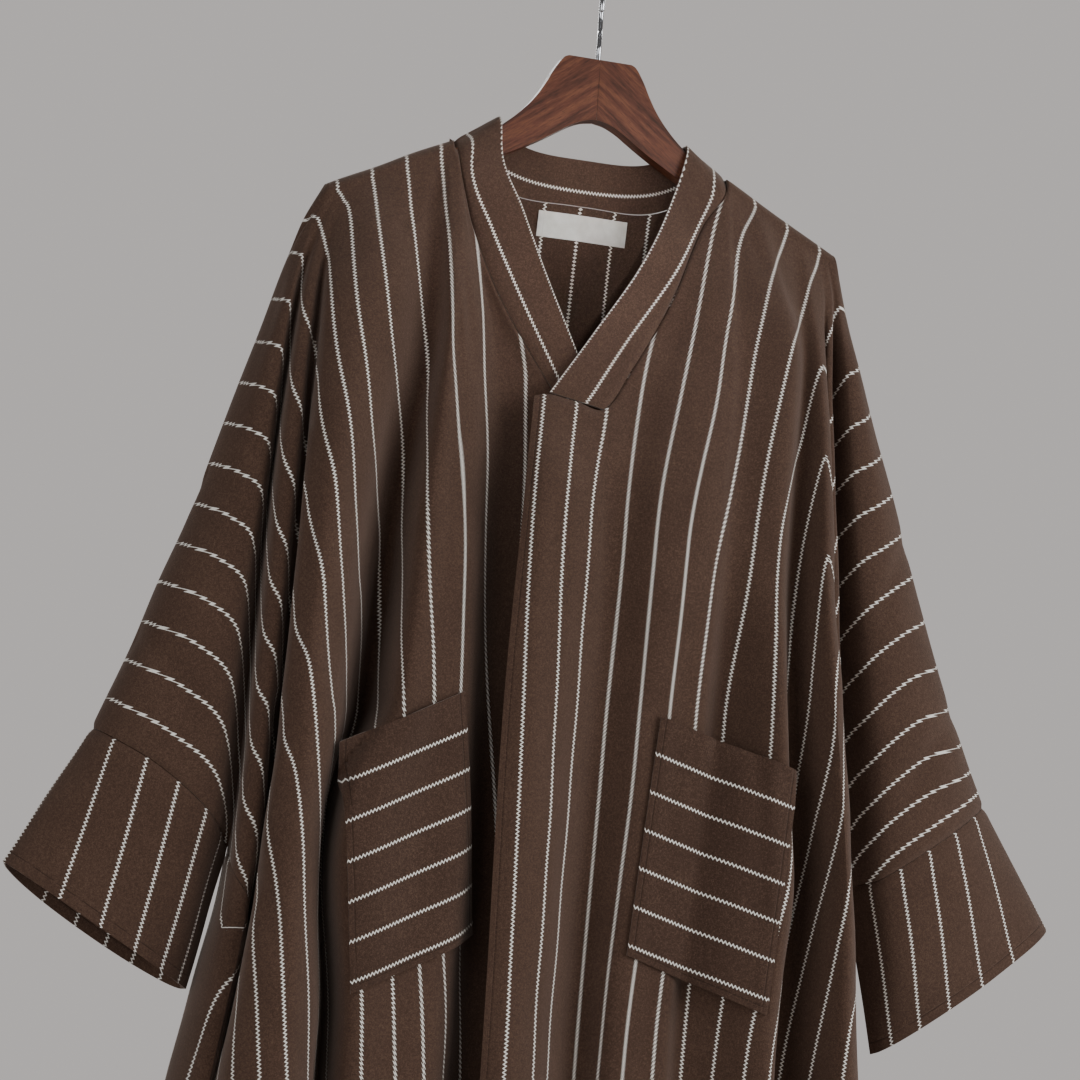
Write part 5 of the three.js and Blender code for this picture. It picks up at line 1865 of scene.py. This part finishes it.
@dataclass
class Studio:
    """Plain pale floor, soft light and the camera.

    Attributes:
        camera_at: Place of the camera in metres.
        azimuth: Degrees it stands to the wearer's right of straight ahead.
        climb: Degrees it looks up.
        roll: Degrees the picture is turned clockwise.
        lens: Focal length on a 36 mm sensor.
        floor_z: Height of the floor.
        floor_size: Length of its sides.
        backdrop: Colour of the surroundings.
        seen: How bright they look.
        ambient: How much light they give.
    """

    camera_at: tuple[float, float, float] = (-0.6507, -2.0616, -0.7085)
    azimuth: float = 17.0
    climb: float = 6.6
    roll: float = 4.1
    lens: float = 90.0
    floor_z: float = -1.56
    floor_size: float = 10.0
    backdrop: tuple[float, float, float] = linear(176, 172, 170)
    seen: float = 1.2
    ambient: float = 0.28

    def camera(self) -> None:
        """Makes the camera at the photograph's viewing angle."""
        a, e, roll = (math.radians(v) for v in (self.azimuth, self.climb, self.roll))
        ahead = Vector((math.sin(a) * math.cos(e), math.cos(a) * math.cos(e), math.sin(e)))
        right = Vector((math.cos(a), -math.sin(a), 0))
        up = right.cross(ahead)
        axis_x = right * math.cos(roll) + up * math.sin(roll)
        axis_y = up * math.cos(roll) - right * math.sin(roll)
        data = bpy.data.cameras.new("camera")
        data.lens, data.sensor_width = self.lens, 36
        data.clip_start, data.clip_end = 0.05, 60
        camera = bpy.data.objects.new("camera", data)
        bpy.context.scene.collection.objects.link(camera)
        turn = Matrix((axis_x, axis_y, -ahead)).transposed().to_4x4()
        camera.matrix_world = Matrix.Translation(self.camera_at) @ turn
        bpy.context.scene.camera = camera

    def light(self, name: str, place: tuple[float, float, float], size: float, power: float,
              aim: tuple[float, float, float] = (0, 0, -0.65), spread: float = 180) -> None:
        """Makes one soft area light.

        Args:
            name: Name of the light.
            place: Where it stands, in metres.
            size: Length of its sides.
            power: Its power in watts.
            aim: The point that it faces.
            spread: Degrees that its light opens to.
        """
        data = bpy.data.lights.new(name, "AREA")
        data.size, data.energy, data.spread = size, power, math.radians(spread)
        lamp = bpy.data.objects.new(name, data)
        bpy.context.scene.collection.objects.link(lamp)
        lamp.location = place
        lamp.rotation_mode = "QUATERNION"
        lamp.rotation_quaternion = (Vector(aim) - Vector(place)).to_track_quat("-Z", "Y")

    def build(self) -> None:
        """Makes the floor, the lights and the pale surroundings."""
        bpy.ops.object.select_all(action="DESELECT")
        bpy.ops.mesh.primitive_plane_add(size=self.floor_size, location=(0, 0, self.floor_z))
        floor = bpy.context.object
        floor.name = "floor"
        tree = Tree("floor_paint", 0.8)
        tone = tree.noise(tree.place(), 3, 2)
        floor.data.materials.append(tree.finish(tree.ramp(
            tone, ((0.3, linear(206, 203, 200)), (0.7, linear(212, 209, 206))))))
        self.light("key", (2.46, -1.72, 0.2), 1.9, 56, (0, 0, -0.75))
        self.light("half_side", (1.6, -2.6, 0.1), 1.2, 20)
        self.light("fill", (-2.2, -1.8, -0.2), 1.8, 28)
        self.light("neck", (-0.15, -2.2, -0.1), 0.15, 0.06, (0, 0, -0.22), 10)
        self.light("rear", (0.6, 2.4, 1.0), 1.6, 60)
        world = bpy.context.scene.world or bpy.data.worlds.new("studio")
        bpy.context.scene.world = world
        world.use_nodes = True
        sky = world.node_tree.nodes["Background"]
        sky.inputs["Color"].default_value = (*self.backdrop, 1)
        seen = world.node_tree.nodes.new("ShaderNodeLightPath").outputs["Is Camera Ray"]
        strength = world.node_tree.nodes.new("ShaderNodeMapRange")
        world.node_tree.links.new(seen, strength.inputs["Value"])
        strength.inputs["To Min"].default_value = self.ambient
        strength.inputs["To Max"].default_value = self.seen
        world.node_tree.links.new(strength.outputs["Result"], sky.inputs["Strength"])


@dataclass
class Abaya:
    """The whole garment on its hanger."""

    right: GarmentSide = field(default_factory=lambda: GarmentSide(
        Side.RIGHT, RIGHT_FRONT, RIGHT_OVERARM, RIGHT_SLEEVE_BACK))
    left: GarmentSide = field(default_factory=lambda: GarmentSide(
        Side.LEFT, LEFT_FRONT, LEFT_OVERARM, LEFT_SLEEVE_BACK))
    unevenness: Unevenness = field(default_factory=Unevenness)

    def panels(self) -> None:
        """Lays the fronts, the back, the cuffs and the neckband over their solids."""
        blocks = [*self.right.blocks(), *self.left.blocks(),
                  Cuff(self.right, (422, -743), (276, -830)).block(),
                  Cuff(self.left, (449, -741), (294, -853)).block(),
                  Neckband(self.right, self.left).block()]
        down = np.array([0.0, 0.0, -1.0])
        crotches = tuple((half.upper[-1, half.valley, :3], down) for half in (self.right, self.left))
        surface = ClothSurface(blocks, CREASES, crotches, self.unevenness)
        cloth = StripedCloth("abaya_cloth", hem=25.0).material()
        cuff_cloth = StripedCloth("cuff_cloth", stitched=9.0).material()
        band_cloth = StripedCloth("band_cloth", stitched=0.0).material()
        for panel, flat, area in (("front_right", (0.66, 1.29), 0.54), ("front_left", (0.70, 1.29), 0.61),
                                  ("back", (1.34, 1.29), 1.13)):
            piece = surface.wall(panel, CLOTH).mesh(f"{panel}_cloth")
            settle(piece, panel, cloth)
        for half, flat in ((self.right, (0.36, 0.13)), (self.left, (0.38, 0.14))):
            word = half.side.word
            piece = surface.wall(f"cuff_{word}", CLOTH).mesh(f"cuff_{word}_cloth")
            settle(piece, f"cuff_{word}", cuff_cloth)
        band = surface.wall("neckband", BAND_CLOTH, 2 * SEAM_GAP)
        # The stripe on the band's inside lies a little off the one outside
        band.facts[len(band.facts) // 2:, 0] += BAND_SHIFT / BAND_STRIPE_GAP
        piece = band.mesh("neckband_cloth")
        settle(piece, "neckband", band_cloth)

    def pockets(self) -> None:
        """Sews a pocket on each front, in a copy of the cloth darkened to paint the pockets' shade."""
        # Painted shade: the pockets' dark and middle fibres are darker than the garment's, though they are
        # of the same cloth
        cloth = StripedCloth("pocket_cloth", dark=linear(48, 34, 27), middle=linear(71, 52, 43)).material()
        for pocket in (Pocket(self.right, (90, -589), (187, -636), (165, -823), (63, -775)),
                       Pocket(self.left, (69, -595), (180, -630), (163, -821), (54, -782), sag=13)):
            word = pocket.half.side.word
            piece = pocket.shell().mesh(f"pocket_{word}_cloth")
            settle(piece, f"pocket_{word}", cloth)

    def label(self) -> None:
        """Sews the bare label inside the back."""
        piece = Label(self.right, self.left).shell(self.unevenness).mesh("label_satin")
        settle(piece, "label", WovenLabel().material())

    def hanger(self) -> None:
        """Models the hanger's two arms and its hook."""
        wood = OiledWalnut().material()
        for side in Side:
            settle(Hanger().arm(side), f"hanger_{side.word}", wood)
        settle(Hook().piece(), "hook", PolishedWire().material())


def main() -> None:
    """Builds the studio and the garment."""
    logging.basicConfig(level=logging.INFO, format="%(name)s: %(message)s")
    studio = Studio()
    studio.camera()
    studio.build()
    abaya = Abaya()
    abaya.panels()
    abaya.pockets()
    abaya.label()
    abaya.hanger()


if __name__ == "__main__":
    main()
